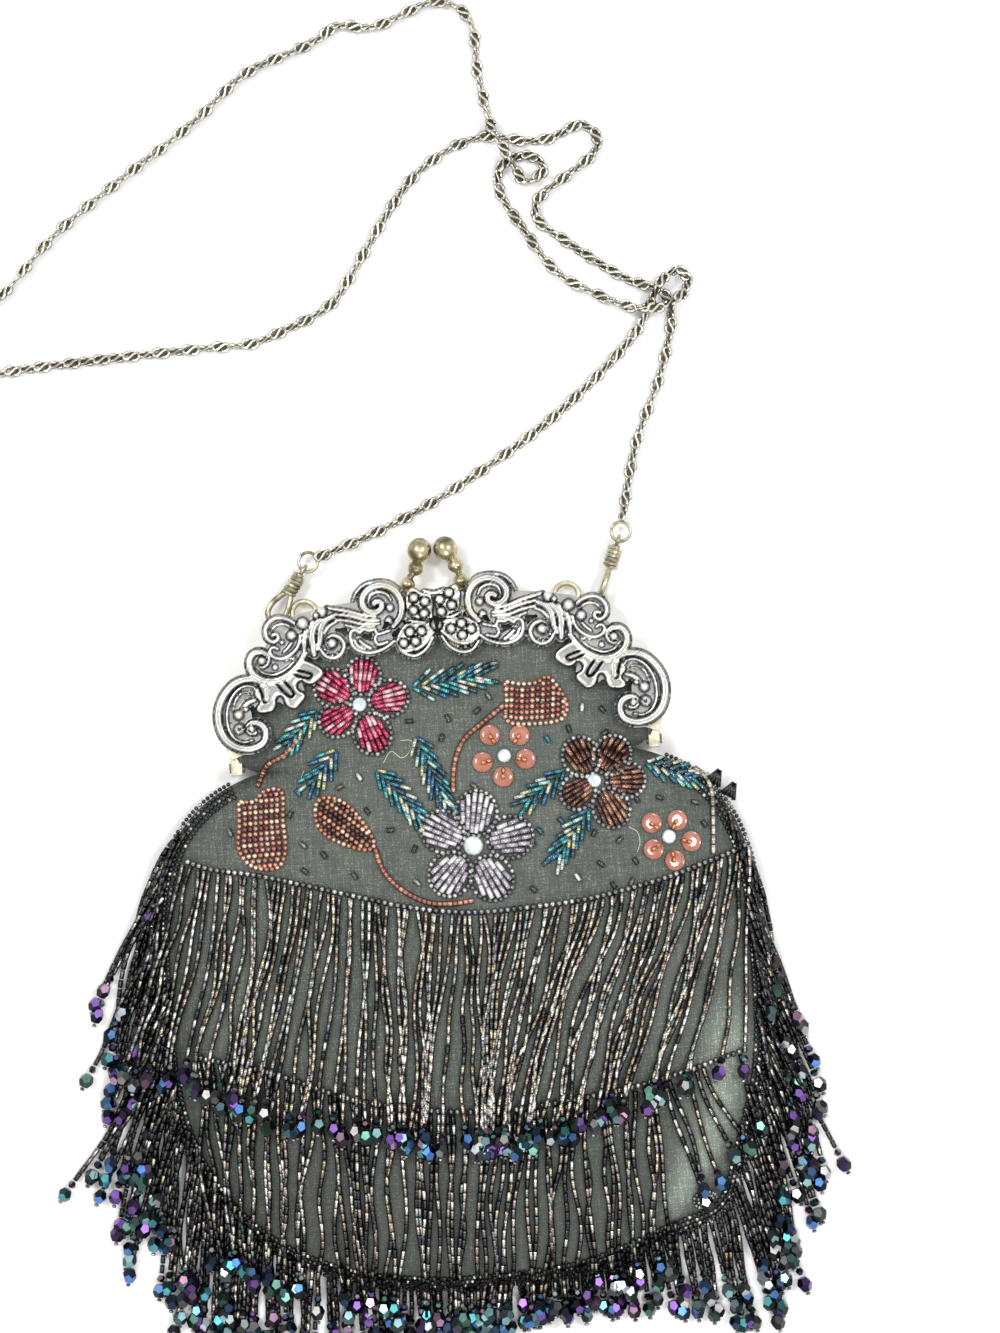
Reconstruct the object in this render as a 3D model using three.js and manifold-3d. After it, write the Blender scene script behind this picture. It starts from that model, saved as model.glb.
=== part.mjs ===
// Beaded evening handbag lying on its back: a silk pouch on a hinged metal frame with cast scrollwork,
// a kiss clasp, a shoulder chain and three rows of bead fringe.
// Millimetres, +Z up from the floor, +Y from the pouch's foot to the clasp, origin under the flat back.
import * as THREE from "three";
import { mergeVertices } from "three/addons/utils/BufferGeometryUtils.js";
import Module from "manifold-3d";

const wasm = await Module();
wasm.setup();

// Driving sizes
const GAP = 0.35;
const POUCH = {
  halfWidth: 91, waistY: 6, footReach: 85, footPower: 2.5, shoulderReach: 77, shoulderPower: 3.6,
  hingeY: 79, crown: 17, hingeCrown: 9, seamZ: 5, backDepth: 5.4, wall: 1.5, seamAllowance: 4,
  footRows: 8, shoulderRows: 5, mouthRows: 3, columns: 13,
};
const CHANNEL = {
  depth: 6, web: 1, stations: 19, clothInset: 3.2, footY: 83.6,
  front: { bottom: 5.5, slotBottom: 6.8, slotTop: 9.5, top: 10.5, clothOuter: 8.9, clothInner: 7.4 },
  back: { bottom: 0, slotBottom: 1, slotTop: 3.9, top: 5.2, clothOuter: 1.5, clothInner: 3 },
};
const HINGE = { y: 81, z: 5.35, hole: 1.1, shank: 0.75, head: 1.5, earFrom: 78.6, earTo: 83.3 };
const CAST = { bottom: CHANNEL.front.top + GAP, plate: 1.3, ridge: 1.9, inset: 8.6 };
const HOOK = {
  z: 3.5, wire: 0.6, loopLength: 9.5, loopHalf: 2.6, coil: 1.8, coilLength: 6.4, eyeAt: 18, eye: 1.45,
};
const LUG = { radius: 1.75, wire: 0.55, out: 3.7 };
const LOOP = { x: 39.6, z: 2.6, radius: 3.6, wire: 0.65 };
const RING = { radius: 2.9, wire: 0.45 };
const CHAIN = { radius: 1.4, sides: 8 };
const STRIP = { clearance: 1.2, thick: 1.7, gap: 1.0, head: 3.4 };

// Outer edge of the frame, right half, from the middle of the rail down to the foot of the leg
const ARCH = [
  { x: 0, y: 129.2 },
  { x: 20, y: 128.6 },
  { x: 34, y: 127.2 },
  { x: 43, y: 125 },
  { x: 49.6, y: 118.9 },
  { x: 57.4, y: 109.6 },
  { x: 64.2, y: 102 },
  { x: 66.9, y: 96.5 },
  { x: 66, y: 90 },
  { x: 63.9, y: CHANNEL.footY },
];

// Scrolls of the right half of the casting: a spiral whose centre drifts while its radius shrinks
const SCROLLS = [
  {
    name: "bow volute", x: 16.3, y: 126.4, toX: 17, toY: 127.2,
    radius: 7.4, end: 1.3, from: 235, sweep: -600, width: 2.6,
  },
  {
    name: "bow shell", x: 19.2, y: 117.6, toX: 20.4, toY: 117.2,
    radius: 6.6, end: 2.6, from: 190, sweep: 300, width: 2.4,
  },
  {
    name: "small spiral", x: 31, y: 115.8, toX: 31, toY: 115.4,
    radius: 3.9, end: 1.1, from: 60, sweep: -460, width: 2.0,
  },
  {
    name: "corner scroll", x: 46, y: 120.6, toX: 47, toY: 120.6,
    radius: 4.7, end: 1.3, from: 180, sweep: -400, width: 2.1,
  },
  {
    name: "mid scroll", x: 45.6, y: 117, toX: 47.6, toY: 115.8,
    radius: 5, end: 1.4, from: 165, sweep: 330, width: 2.0,
  },
  {
    name: "long scroll", x: 49, y: 113.4, toX: 53.4, toY: 112,
    radius: 8.8, end: 1.4, from: 185, sweep: 430, width: 2.4,
  },
  {
    name: "end scroll", x: 58.6, y: 97.4, toX: 56, toY: 92,
    radius: 9.6, end: 1.6, from: 130, sweep: -520, width: 2.6,
  },
];
// Blades of leaf between the scrolls, each a bowed ridge
const BLADES = [
  { x: 15.5, y: 121.2, toX: 29.5, toY: 124.8, bow: 1.4, width: 2.6 },
  { x: 33.4, y: 124.6, toX: 36.4, toY: 112.6, bow: 1.6, width: 2.4 },
  { x: 36.6, y: 124.4, toX: 39.4, toY: 114, bow: 1.4, width: 2.4 },
  { x: 43, y: 109.6, toX: 35.6, toY: 107.6, bow: -1.0, width: 3.0 },
  { x: 46.5, y: 107.2, toX: 43.4, toY: 98.6, bow: 1.0, width: 3.2 },
  { x: 50, y: 105.4, toX: 52.6, toY: 98.4, bow: 0.8, width: 3.0 },
];
const BERRIES = [
  { x: 39.8, y: 122.4, r: 1.6 },
  { x: 33.8, y: 125.6, r: 1.4 },
  { x: 60.4, y: 93.4, r: 1.5 },
  { x: 60.6, y: 97.4, r: 1.5 },
  { x: 12.8, y: 122.6, r: 1.3 },
];
// Plate under the relief: round patches of the right half
const PATCHES = [
  { x: 16.6, y: 126.8, r: 7.6 },
  { x: 19.4, y: 117.4, r: 7 },
  { x: 31, y: 116, r: 5 },
  { x: 45.9, y: 120.2, r: 5.2 },
  { x: 51.6, y: 111.6, r: 5.8 },
  { x: 59, y: 99.4, r: 7.6 },
  { x: 58.4, y: 93.8, r: 7.4 },
];
const LEAF = [
  { x: 40, y: 113 }, { x: 34.4, y: 108.4 }, { x: 36, y: 106 }, { x: 41.2, y: 105.8 }, { x: 40.6, y: 101 },
  { x: 42.6, y: 97.4 }, { x: 46, y: 98 }, { x: 48.6, y: 101 }, { x: 50.6, y: 97.6 }, { x: 54, y: 97.6 },
  { x: 56, y: 104 }, { x: 52, y: 110 },
];

// Bow in the middle of the rail: four flat loops set with small domes round a knot
const BOW = {
  loops: [
    [[-0.6, 120.6], [-7.6, 122.6], [-9.2, 130.4], [-2, 129.2]],
    [[0.6, 120.6], [2, 129.4], [7.4, 131.4], [7.4, 123.4]],
    [[-0.6, 120.2], [-10.4, 120.2], [-12.8, 113.6], [-7, 111.6], [-0.8, 117.4]],
    [[0.6, 120.2], [8, 121.8], [13.4, 119.4], [13.2, 114.4], [7, 112.6], [0.8, 117.4]],
  ],
  domes: [
    [0, 119.8, 1.9], [-6, 128, 1.4], [-3, 126.8, 1.4], [-6.5, 124.3, 1.4], [-3.3, 123.3, 1.4],
    [1.9, 127, 1.4], [4.5, 128.8, 1.4], [5, 125.5, 1.4], [1.9, 123.6, 1.4],
    [-8, 118, 1.4], [-4.5, 118, 1.4], [-10, 114.8, 1.4], [-6.5, 115, 1.4],
    [4.4, 118, 1.4], [7.6, 119.6, 1.4], [10.4, 117.6, 1.4], [7.6, 115.8, 1.4],
  ],
};

// Route of the chain from the left jump ring to the turn past its far end: x, y, lift off the floor
const CHAIN_START = [
  [-33.5, 142.7, 2.1], [-27, 145, 0.9], [-20, 147.4, 0], [0, 156, 0], [32, 174.6, 0],
  [50, 188.2, 0], [65.5, 203, 0], [68.4, 207.2, 0], [70.2, 211, 0.5], [72, 214.4, 2.3],
  [74.6, 218.2, 3.2], [78.2, 221.6, 1.4], [81.8, 220.8, 0.2], [83.2, 217.2, 0.1], [80.8, 213.8, 1.5],
  [77, 211.4, 3.1], [73, 210.1, 3.5], [69.2, 209.9, 3.4], [65, 211, 1.5], [60, 213.2, 0], [50, 218.6, 0],
  [46, 220.9, 0], [41, 226, 0], [34.6, 236.4, 0], [28, 248, 0], [27.4, 253, 0], [29, 256.8, 0],
  [32.2, 258.6, 0], [36.4, 259.2, 0], [40.8, 257.6, 0], [42.2, 254.8, 0], [39.4, 252, 0], [36.2, 250.2, 0],
  [34.2, 252.6, 0.8], [32.8, 255.6, 2.5], [31.2, 259, 3.2], [29.3, 262.4, 3.2], [27.4, 265.8, 3.2],
  [26.4, 269.6, 1.6], [25.6, 274, 0], [23.6, 287, 0], [23.8, 294, 0], [22.8, 300.5, 0], [19.4, 305, 0],
  [13, 307.4, 0], [-6, 300.8, 0], [-12, 301, 0], [-17.4, 302.6, 0], [-21, 299.6, 0],
  [-28, 296.2, 0], [-46, 289.5, 0], [-62, 276.4, 0], [-106, 245.6, 0], [-124, 227.6, 0],
  [-130, 222.68, 0],
];
// Route of the chain back from the turn to the right jump ring
const CHAIN_RETURN = [
  [-130.27, 222.46, 0], [-134, 219.4, 0], [-152, 209, 0], [-156.6, 204.6, 0], [-155.6, 200.2, 0],
  [-150.6, 198.8, 0], [-137, 202.6, 0], [-126, 204.6, 0], [-62, 207.8, 0], [-50, 208, 0],
  [-42, 210.6, 0], [-25, 218.2, 0], [-20, 224.4, 0], [-4, 247.6, 0],
  [1.4, 254, 0], [8, 259.2, 0], [15, 263, 0], [21.6, 265.2, 0], [27.4, 265.6, 0], [33, 264, 0],
  [39.6, 263.2, 0], [46, 264, 0], [51, 266.6, 0], [54.8, 267.6, 0], [57.8, 264.4, 0], [59, 260.4, 0],
  [56.4, 257.4, 0], [44.6, 249.6, 0], [39.4, 246, 0], [37.9, 242.4, 0], [38.9, 238.4, 0], [42, 236.2, 0],
  [51.6, 228.6, 0], [66, 218.8, 0], [70.6, 217.4, 0], [74.4, 215.6, 0], [76.6, 212.4, 0],
  [77.2, 208.4, 0], [76.4, 203.6, 0], [72.6, 191, 0], [63.6, 170, 0], [59.9, 156, 0], [58.6, 150.6, 1],
  [58, 147.7, 2.1],
];

// Fringe rows on the front: where the head runs, and how far each strip leans and falls
const UPPER_ROW = {
  strips: 17,
  head: [
    { at: -78, y: 53 }, { at: -60, y: 49.3 }, { at: -30, y: 41.2 }, { at: 5, y: 33.2 }, { at: 40, y: 35 },
    { at: 62, y: 39.6 }, { at: 82, y: 45.4 },
  ],
  fall: [
    { at: -78, lean: -9, length: 71 }, { at: -50, lean: -4, length: 75 }, { at: 0, lean: -3, length: 71 },
    { at: 40, lean: -11, length: 70 }, { at: 62, lean: -13, length: 68 }, { at: 82, lean: -6, length: 69 },
  ],
};
const LOWER_ROW = {
  strips: 16,
  head: [
    { at: -80, y: -5 }, { at: -60, y: -9 }, { at: -32, y: -19.4 }, { at: 5, y: -25 }, { at: 55, y: -20 },
    { at: 84, y: -13.6 },
  ],
  fall: [
    { at: -80, lean: -3, length: 66 }, { at: -60, lean: -2, length: 72 }, { at: -20, lean: -2, length: 71 },
    { at: 30, lean: 0, length: 69 }, { at: 54, lean: 2, length: 66 }, { at: 60, lean: 9, length: 30 },
    { at: 84, lean: 5, length: 22 },
  ],
};
// Fringe round the seam: share of the way from the left hinge to the right, swing from straight down, length
const EDGE_FRINGE = [
  { at: 0.16, swing: -43, length: 43 },
  { at: 0.24, swing: -38, length: 42 },
  { at: 0.3, swing: -35, length: 45 },
  { at: 0.345, swing: -32, length: 40 },
  { at: 0.38, swing: -22, length: 32 },
  { at: 0.42, swing: -10, length: 23 },
  { at: 0.5, swing: -2, length: 18 },
  { at: 0.58, swing: 8, length: 19 },
  { at: 0.62, swing: 14, length: 23 },
  { at: 0.66, swing: 22, length: 37 },
  { at: 0.7, swing: 26, length: 48 },
  { at: 0.76, swing: 28, length: 40 },
  { at: 0.83, swing: 22, length: 38 },
];
const EDGE_STRIPS = 23;
const EDGE_WIDTH = 5.6;

const STONES = [
  { name: "stone_pink", x: -24.5, y: 97.5, r: 2.3 },
  { name: "stone_coral_upper", x: 17.5, y: 79.3, r: 2.2 },
  { name: "stone_brown", x: 43.7, y: 70, r: 2.3 },
  { name: "stone_coral_lower", x: 64.8, y: 51.8, r: 2.3 },
  { name: "stone_lilac", x: 6.5, y: 53.5, r: 3.1 },
];

const MATERIALS = {
  silk: { color: "#5d6155", roughness: 0.7, metalness: 0.0 },
  silver: { color: "#c9c8c0", roughness: 0.3, metalness: 1.0 },
  brass: { color: "#c7b98a", roughness: 0.32, metalness: 1.0 },
  antique: { color: "#a5977a", roughness: 0.35, metalness: 1.0 },
  bead: { color: "#24231f", roughness: 0.2, metalness: 0.2 },
  stone: { color: "#dfe6e8", roughness: 0.08, metalness: 0.0 },
};

const vec = (x, y, z = 0) => new THREE.Vector3(x, y, z);
const lerp = THREE.MathUtils.lerp;
const radians = THREE.MathUtils.degToRad;

// Value of a column at a place in a table whose rows are ordered by "at"
function tableAt(table, column, at) {
  const next = table.findIndex((row) => row.at >= at);
  if (next <= 0) return table[next === 0 ? 0 : table.length - 1][column];
  const [a, b] = [table[next - 1], table[next]];
  return lerp(a[column], b[column], (at - a.at) / (b.at - a.at));
}

// A solid for joining and cutting, turned right side out
function solid(geometry) {
  const bare = geometry.clone();
  bare.deleteAttribute("normal");
  bare.deleteAttribute("uv");
  const welded = mergeVertices(bare, 1e-4);
  const corners = [];
  for (let i = 0; i < welded.index.count; i += 3) {
    const [a, b, c] = [0, 1, 2].map((k) => welded.index.getX(i + k));
    if (a !== b && b !== c && c !== a) corners.push(a, b, c);
  }
  const make = (list) => new wasm.Manifold(new wasm.Mesh({
    numProp: 3,
    vertProperties: new Float32Array(welded.attributes.position.array),
    triVerts: new Uint32Array(list),
  }));
  const made = make(corners);
  if (made.volume() > 0) return made;
  return make(corners.map((corner, i) => corners[i - (i % 3) + 2 - (i % 3)]));
}

const fuse = (solids) => solids.reduce((whole, one) => whole.add(one)).asOriginal().simplify(0.06);

function geometryOf(body) {
  const mesh = body.getMesh();
  const geometry = new THREE.BufferGeometry();
  const place = [];
  for (let i = 0; i < mesh.vertProperties.length; i += mesh.numProp) {
    place.push(...mesh.vertProperties.slice(i, i + 3));
  }
  geometry.setAttribute("position", new THREE.Float32BufferAttribute(place, 3));
  geometry.setIndex(Array.from(mesh.triVerts));
  return geometry;
}

// A closed solid through rings of points with the same number of corners, flat at both ends
function loft(rings, section) {
  const corners = rings[0].length;
  const geometry = new THREE.BufferGeometry();
  const place = rings.flat().flatMap((p) => [p.x, p.y, p.z]);
  const index = [];
  for (let r = 0; r + 1 < rings.length; r += 1) {
    for (let k = 0; k < corners; k += 1) {
      const [a, b] = [r * corners + k, r * corners + ((k + 1) % corners)];
      index.push(a, b, b + corners, a, b + corners, a + corners);
    }
  }
  const last = (rings.length - 1) * corners;
  const clockwise = THREE.ShapeUtils.isClockWise(section);
  for (const face of THREE.ShapeUtils.triangulateShape(section, [])) {
    const [a, b, c] = clockwise ? [face[0], face[2], face[1]] : face;
    index.push(a, c, b, last + a, last + b, last + c);
  }
  geometry.setAttribute("position", new THREE.Float32BufferAttribute(place, 3));
  geometry.setIndex(index);
  return solid(geometry);
}

// Direction of a path at one of its points
function aheadAt(path, i) {
  const [next, before] = [path[Math.min(i + 1, path.length - 1)], path[Math.max(i - 1, 0)]];
  return next.clone().sub(before);
}

// A section of (across, up) corners carried along a path that lies level or climbs gently
function sweepLevel(path, section) {
  const rings = path.map((point, i) => {
    const ahead = aheadAt(path, i).setZ(0).normalize();
    const across = vec(ahead.y, -ahead.x);
    return section.map((p) => vec(point.x + across.x * p.x, point.y + across.y * p.x, point.z + p.y));
  });
  return loft(rings, section);
}

const polygon = (radius, sides) => Array.from({ length: sides }, (_, k) => {
  const angle = ((k + 0.5) * 2 * Math.PI) / sides;
  return new THREE.Vector2(radius * Math.cos(angle), radius * Math.sin(angle));
});

// A round rod along a path, mitred at every station
function rod(path, radius, sides) {
  const section = polygon(radius, sides);
  let side = null;
  const rings = path.map((point, i) => {
    const ahead = aheadAt(path, i).normalize();
    const seed = side ?? (Math.abs(ahead.z) > 0.9 ? vec(1, 0, 0) : vec(0, 0, 1));
    const up = ahead.clone().cross(seed).cross(ahead).normalize();
    side = up;
    const across = ahead.clone().cross(up);
    return section.map((p) => point.clone().addScaledVector(across, p.x).addScaledVector(up, p.y));
  });
  return loft(rings, section);
}

// A ring of round wire about a centre; axis is the direction through its hole
function wireRing(centre, axis, radius, wire, around = 14, sides = 6) {
  const torus = new THREE.TorusGeometry(radius, wire, sides, around);
  torus.applyQuaternion(new THREE.Quaternion().setFromUnitVectors(vec(0, 0, 1), axis.clone().normalize()));
  torus.translate(centre.x, centre.y, centre.z);
  return solid(torus);
}

function box(x0, x1, y0, y1, z0, z1) {
  const geometry = new THREE.BoxGeometry(x1 - x0, y1 - y0, z1 - z0);
  return solid(geometry.translate((x0 + x1) / 2, (y0 + y1) / 2, (z0 + z1) / 2));
}

function rodAlongX(x0, x1, y, z, radius, sides = 12) {
  const geometry = new THREE.CylinderGeometry(radius, radius, x1 - x0, sides).rotateZ(Math.PI / 2);
  return solid(geometry.translate((x0 + x1) / 2, y, z));
}

function ball(centre, radius, around = 12, rings = 8) {
  return solid(new THREE.SphereGeometry(radius, around, rings).translate(centre.x, centre.y, centre.z));
}

// Plan of the pouch
function halfWidthAt(y) {
  const below = y < POUCH.waistY;
  const reach = below ? POUCH.footReach : POUCH.shoulderReach;
  const power = below ? POUCH.footPower : POUCH.shoulderPower;
  const share = Math.min(1, Math.abs(y - POUCH.waistY) / reach);
  return POUCH.halfWidth * (1 - share ** power) ** (1 / power);
}

// Angle of the shoulder's outline at the hinge line
function shoulderTurn() {
  return Math.asin(((POUCH.hingeY - POUCH.waistY) / POUCH.shoulderReach) ** (POUCH.shoulderPower / 2));
}

function crownAt(y) {
  if (y < POUCH.waistY) return POUCH.crown * (halfWidthAt(y) / POUCH.halfWidth) ** 1.2;
  const up = (y - POUCH.waistY) / (POUCH.hingeY - POUCH.waistY);
  return lerp(POUCH.crown, POUCH.hingeCrown, up ** 1.3);
}

const lens = (c, power) => Math.max(0, 1 - Math.abs(c) ** power) ** 0.8;

// Outer edge of the frame as one curve from the left foot over the rail to the right foot
const archCurve = new THREE.CatmullRomCurve3([
  ...ARCH.slice(1).reverse().map((p) => vec(-p.x, p.y)),
  ...ARCH.map((p) => vec(p.x, p.y)),
], false, "centripetal");

function archAt(share, inward = 0) {
  const point = archCurve.getPointAt(share);
  const along = archCurve.getTangentAt(share);
  return vec(point.x + along.y * inward, point.y - along.x * inward);
}

// Height of the front or back below the hinges; column runs from -1 at the left seam to 1 at the right
function panelZ(front, column, y, thinner) {
  const crown = crownAt(y);
  if (front) return POUCH.seamZ + Math.max(0.05, crown - thinner) * lens(column, 2.2);
  const fullness = Math.min(1, (1.5 * halfWidthAt(y)) / POUCH.halfWidth);
  const depth = Math.max(0, POUCH.seamZ - POUCH.backDepth * fullness * lens(column, 4));
  return Math.min(POUCH.seamZ - 0.05 * lens(column, 4), depth + thinner * lens(column, 4));
}

// A point between the hinge line and the channel, where front and back part
function mouthPoint(front, column, up, inner) {
  const [narrow, thinner] = inner ? [innerScale().x, POUCH.wall] : [1, 0];
  const foot = vec(column * halfWidthAt(POUCH.hingeY) * narrow, POUCH.hingeY);
  const rim = archAt((column + 1) / 2, CHANNEL.clothInset);
  const cloth = front ? CHANNEL.front : CHANNEL.back;
  const rimZ = inner ? cloth.clothInner : cloth.clothOuter;
  const ease = THREE.MathUtils.smoothstep(up, 0, 0.7);
  const point = foot.lerp(rim, up);
  return point.setZ(lerp(panelZ(front, column, POUCH.hingeY, thinner), rimZ, ease));
}

function innerScale() {
  const length = POUCH.hingeY - POUCH.waistY + POUCH.footReach;
  return {
    x: 1 - POUCH.seamAllowance / POUCH.halfWidth,
    y: 1 - POUCH.seamAllowance / length,
  };
}

// Height of the outside of the front at a place in plan
function frontAt(x, y) {
  if (y <= POUCH.hingeY) return panelZ(true, x / Math.max(halfWidthAt(y), 1e-6), y, 0);
  let [low, high] = [-1, 1];
  for (let i = 0; i < 30; i += 1) {
    const column = (low + high) / 2;
    const foot = vec(column * halfWidthAt(POUCH.hingeY), POUCH.hingeY);
    const rim = archAt((column + 1) / 2, CHANNEL.clothInset);
    const lineX = lerp(foot.x, rim.x, (y - foot.y) / (rim.y - foot.y));
    if (lineX < x) low = column;
    else high = column;
  }
  const rim = archAt((low + 1) / 2, CHANNEL.clothInset);
  return mouthPoint(true, low, (y - POUCH.hingeY) / (rim.y - POUCH.hingeY), false).z;
}

// One skin of the pouch as rows of points from the foot to the channel, front and back
function pouchSkin(inner) {
  const scale = inner ? innerScale() : { x: 1, y: 1 };
  const thinner = inner ? POUCH.wall : 0;
  const heights = [];
  for (let i = 0; i <= POUCH.footRows; i += 1) {
    const turn = (Math.PI / 2) * (1 - i / POUCH.footRows);
    heights.push(POUCH.waistY - POUCH.footReach * Math.sin(turn) ** (2 / POUCH.footPower));
  }
  for (let i = 1; i <= POUCH.shoulderRows; i += 1) {
    const turn = shoulderTurn() * (i / POUCH.shoulderRows);
    heights.push(POUCH.waistY + POUCH.shoulderReach * Math.sin(turn) ** (2 / POUCH.shoulderPower));
  }
  const columns = Array.from({ length: POUCH.columns + 1 }, (_, j) => (
    Math.sin(Math.PI * (j / POUCH.columns - 0.5))
  ));
  const skin = (front) => {
    const rows = heights.map((y) => columns.map((column) => vec(
      column * halfWidthAt(y) * scale.x,
      POUCH.hingeY - (POUCH.hingeY - y) * scale.y,
      panelZ(front, column, y, thinner),
    )));
    for (let i = 1; i <= POUCH.mouthRows; i += 1) {
      rows.push(columns.map((column) => mouthPoint(front, column, i / POUCH.mouthRows, inner)));
    }
    return rows;
  };
  return { front: skin(true), back: skin(false) };
}

// Edge of a skin: up the left seam from the foot, along the rim in the channel, and down the right seam
function skinEdge(rows) {
  return [
    ...rows.map((row) => row[0]),
    ...rows[rows.length - 1].slice(1, -1),
    ...rows.slice().reverse().map((row) => row[POUCH.columns]),
  ];
}

// One panel of the pouch: an outer and an inner skin closed along the seam and the rim
function makePanel(outer, inner, front) {
  const place = [];
  const triangle = (a, b, c, flip) => {
    (flip ? [a, c, b] : [a, b, c]).forEach((p) => place.push(p.x, p.y, p.z));
  };
  const skin = (rows, flip) => {
    for (let i = 0; i + 1 < rows.length; i += 1) {
      for (let j = 0; j < POUCH.columns; j += 1) {
        const [a, b, c, d] = [rows[i][j], rows[i][j + 1], rows[i + 1][j + 1], rows[i + 1][j]];
        const split = j * 2 < POUCH.columns ? [[a, b, c], [a, c, d]] : [[a, b, d], [b, c, d]];
        split.forEach(([p, q, r]) => triangle(p, q, r, flip));
      }
    }
  };
  skin(outer, !front);
  skin(inner, front);
  const [outside, inside] = [skinEdge(outer), skinEdge(inner)];
  for (let k = 0; k + 1 < outside.length; k += 1) {
    triangle(outside[k], outside[k + 1], inside[k + 1], !front);
    triangle(outside[k], inside[k + 1], inside[k], !front);
  }
  const geometry = new THREE.BufferGeometry();
  geometry.setAttribute("position", new THREE.Float32BufferAttribute(place, 3));
  return solid(geometry);
}

// Half of the frame: a channel open toward the cloth, carried round the arch
function makeChannel(half) {
  const { web, depth } = CHANNEL;
  const section = [
    [0, half.bottom], [0, half.top], [depth, half.top], [depth, half.slotTop], [web, half.slotTop],
    [web, half.slotBottom], [depth, half.slotBottom], [depth, half.bottom],
  ].map(([inward, z]) => new THREE.Vector2(inward, z));
  const rings = Array.from({ length: CHANNEL.stations + 1 }, (_, i) => section.map((p) => (
    archAt(i / CHANNEL.stations, p.x).setZ(p.y)
  )));
  return loft(rings, section);
}

// Hinge ears: the front half's run outside the back half's, and a rivet passes through both
function makeEar(side, front) {
  const { earFrom, earTo, y, z, hole } = HINGE;
  const [near, far] = front ? [62.9, 63.9] : [61.4, 62.4];
  const [low, high] = front ? [CHANNEL.front.bottom + 0.2, z + 2.3] : [z - 2.3, CHANNEL.back.top - 0.2];
  const span = (x0, x1) => (side > 0 ? [x0, x1] : [-x1, -x0]);
  const tongue = box(...span(near, far), earFrom, earTo, z - 2.3, z + 2.3);
  const neck = box(...span(near, far), earTo - 0.4, 87, low, high);
  const root = box(...span(near, 64.2), earTo + 0.5, 87, low, high);
  const bore = rodAlongX(...span(near - 1, far + 1), y, z, hole, 8);
  return tongue.add(neck).add(root).subtract(bore);
}

function makePin(side) {
  const { y, z, shank, head } = HINGE;
  const span = (x0, x1) => (side > 0 ? [x0, x1] : [-x1, -x0]);
  return fuse([
    rodAlongX(...span(60.4, 65), y, z, shank, 8),
    rodAlongX(...span(60.4, 61.05), y, z, head, 10),
    rodAlongX(...span(64.25, 65), y, z, head, 10),
  ]);
}

// Where each hook hangs: a lug on the outer edge of the back half, and the way the hook lies
const HANGERS = [
  { side: "left", share: 0.243, towards: vec(0.589, 0.808), flat: true },
  { side: "right", share: 0.757, towards: vec(0.362, 0.932), flat: false },
].map((row) => {
  const lug = archAt(row.share, -LUG.out).setZ(HOOK.z);
  const held = row.flat
    ? lug.clone().setZ(HOOK.z - LUG.radius)
    : archAt(row.share, LUG.radius - LUG.out).setZ(HOOK.z);
  const root = archAt(row.share, 0.5).setZ(held.z);
  const along = row.towards.normalize();
  const beside = vec(-along.y, along.x);
  const upright = vec(0, 0, 1);
  const ring = lug.clone().addScaledVector(along, HOOK.eyeAt + RING.radius);
  return { ...row, lug, stub: [root, held], along, across: row.flat ? beside : upright, beside, ring };
});

function makeFrameBack() {
  const parts = [makeChannel(CHANNEL.back), makeEar(-1, false), makeEar(1, false)];
  for (const { lug, across, stub } of HANGERS) {
    parts.push(wireRing(lug, across, LUG.radius, LUG.wire, 10, 5), rod(stub, LUG.wire, 6));
  }
  for (const side of [-1, 1]) {
    const arc = Array.from({ length: 8 }, (_, i) => {
      const angle = radians(lerp(-6, 186, i / 7) - side * 14);
      return vec(side * LOOP.x + LOOP.radius * Math.cos(angle), 126 + LOOP.radius * Math.sin(angle), LOOP.z);
    });
    parts.push(rod(arc, LOOP.wire, 6));
  }
  return fuse(parts);
}

const makeFrameFront = () => fuse([makeChannel(CHANNEL.front), makeEar(-1, true), makeEar(1, true)]);

// A hook: a closed wire loop through the lug, a wrapped neck and an eye for the jump ring
function makeHook({ lug, along, across, beside }) {
  const at = (a, b) => lug.clone().addScaledVector(along, a).addScaledVector(across, b);
  const { loopLength, loopHalf, wire, coil, coilLength, eyeAt, eye } = HOOK;
  const half = [
    [loopLength + 0.6, 0.7], [loopLength - 2, 1.8], [4.4, loopHalf], [1.6, loopHalf * 0.86], [0.4, 1.1],
  ];
  const loop = [
    ...half.map(([a, b]) => at(a, b)),
    at(0, 0),
    ...half.slice().reverse().map(([a, b]) => at(a, -b)),
  ];
  const neck = [loopLength, loopLength + coilLength];
  return fuse([
    rod(loop, wire, 6),
    rod(neck.map((a) => at(a, 0)), coil, 8),
    rod([at(neck[1] - 0.1, 0), at(eyeAt - eye, 0)], wire, 6),
    wireRing(at(eyeAt, 0), beside, eye, 0.5, 10, 5),
  ]);
}

// Kiss clasp: a stem from one half of the frame, a collar and a ball
function makeKnob(root, bend, collar, centre, radius) {
  return fuse([
    rod([root, bend, collar, centre], 1.0, 8),
    ball(collar, 1.85, 8, 5),
    ball(centre, radius, 10, 7),
  ]);
}

// Raised ridge of the casting along plan points, highest along its middle
function ridge(points, width, height) {
  const section = [
    new THREE.Vector2(-width / 2, -0.5),
    new THREE.Vector2(width / 2, -0.5),
    new THREE.Vector2(0, height),
  ];
  return sweepLevel(points.map((p) => vec(p.x, p.y, CAST.bottom + CAST.plate)), section);
}

function scrollPoints({ x, y, toX, toY, radius, end, from, sweep }, side) {
  const steps = Math.round(Math.abs(sweep) / 45);
  return Array.from({ length: steps + 1 }, (_, i) => {
    const t = i / steps;
    const angle = radians(from + sweep * t);
    const r = lerp(radius, end, t ** 1.15);
    return vec(side * (lerp(x, toX, t) + r * Math.cos(angle)), lerp(y, toY, t) + r * Math.sin(angle));
  });
}

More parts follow.
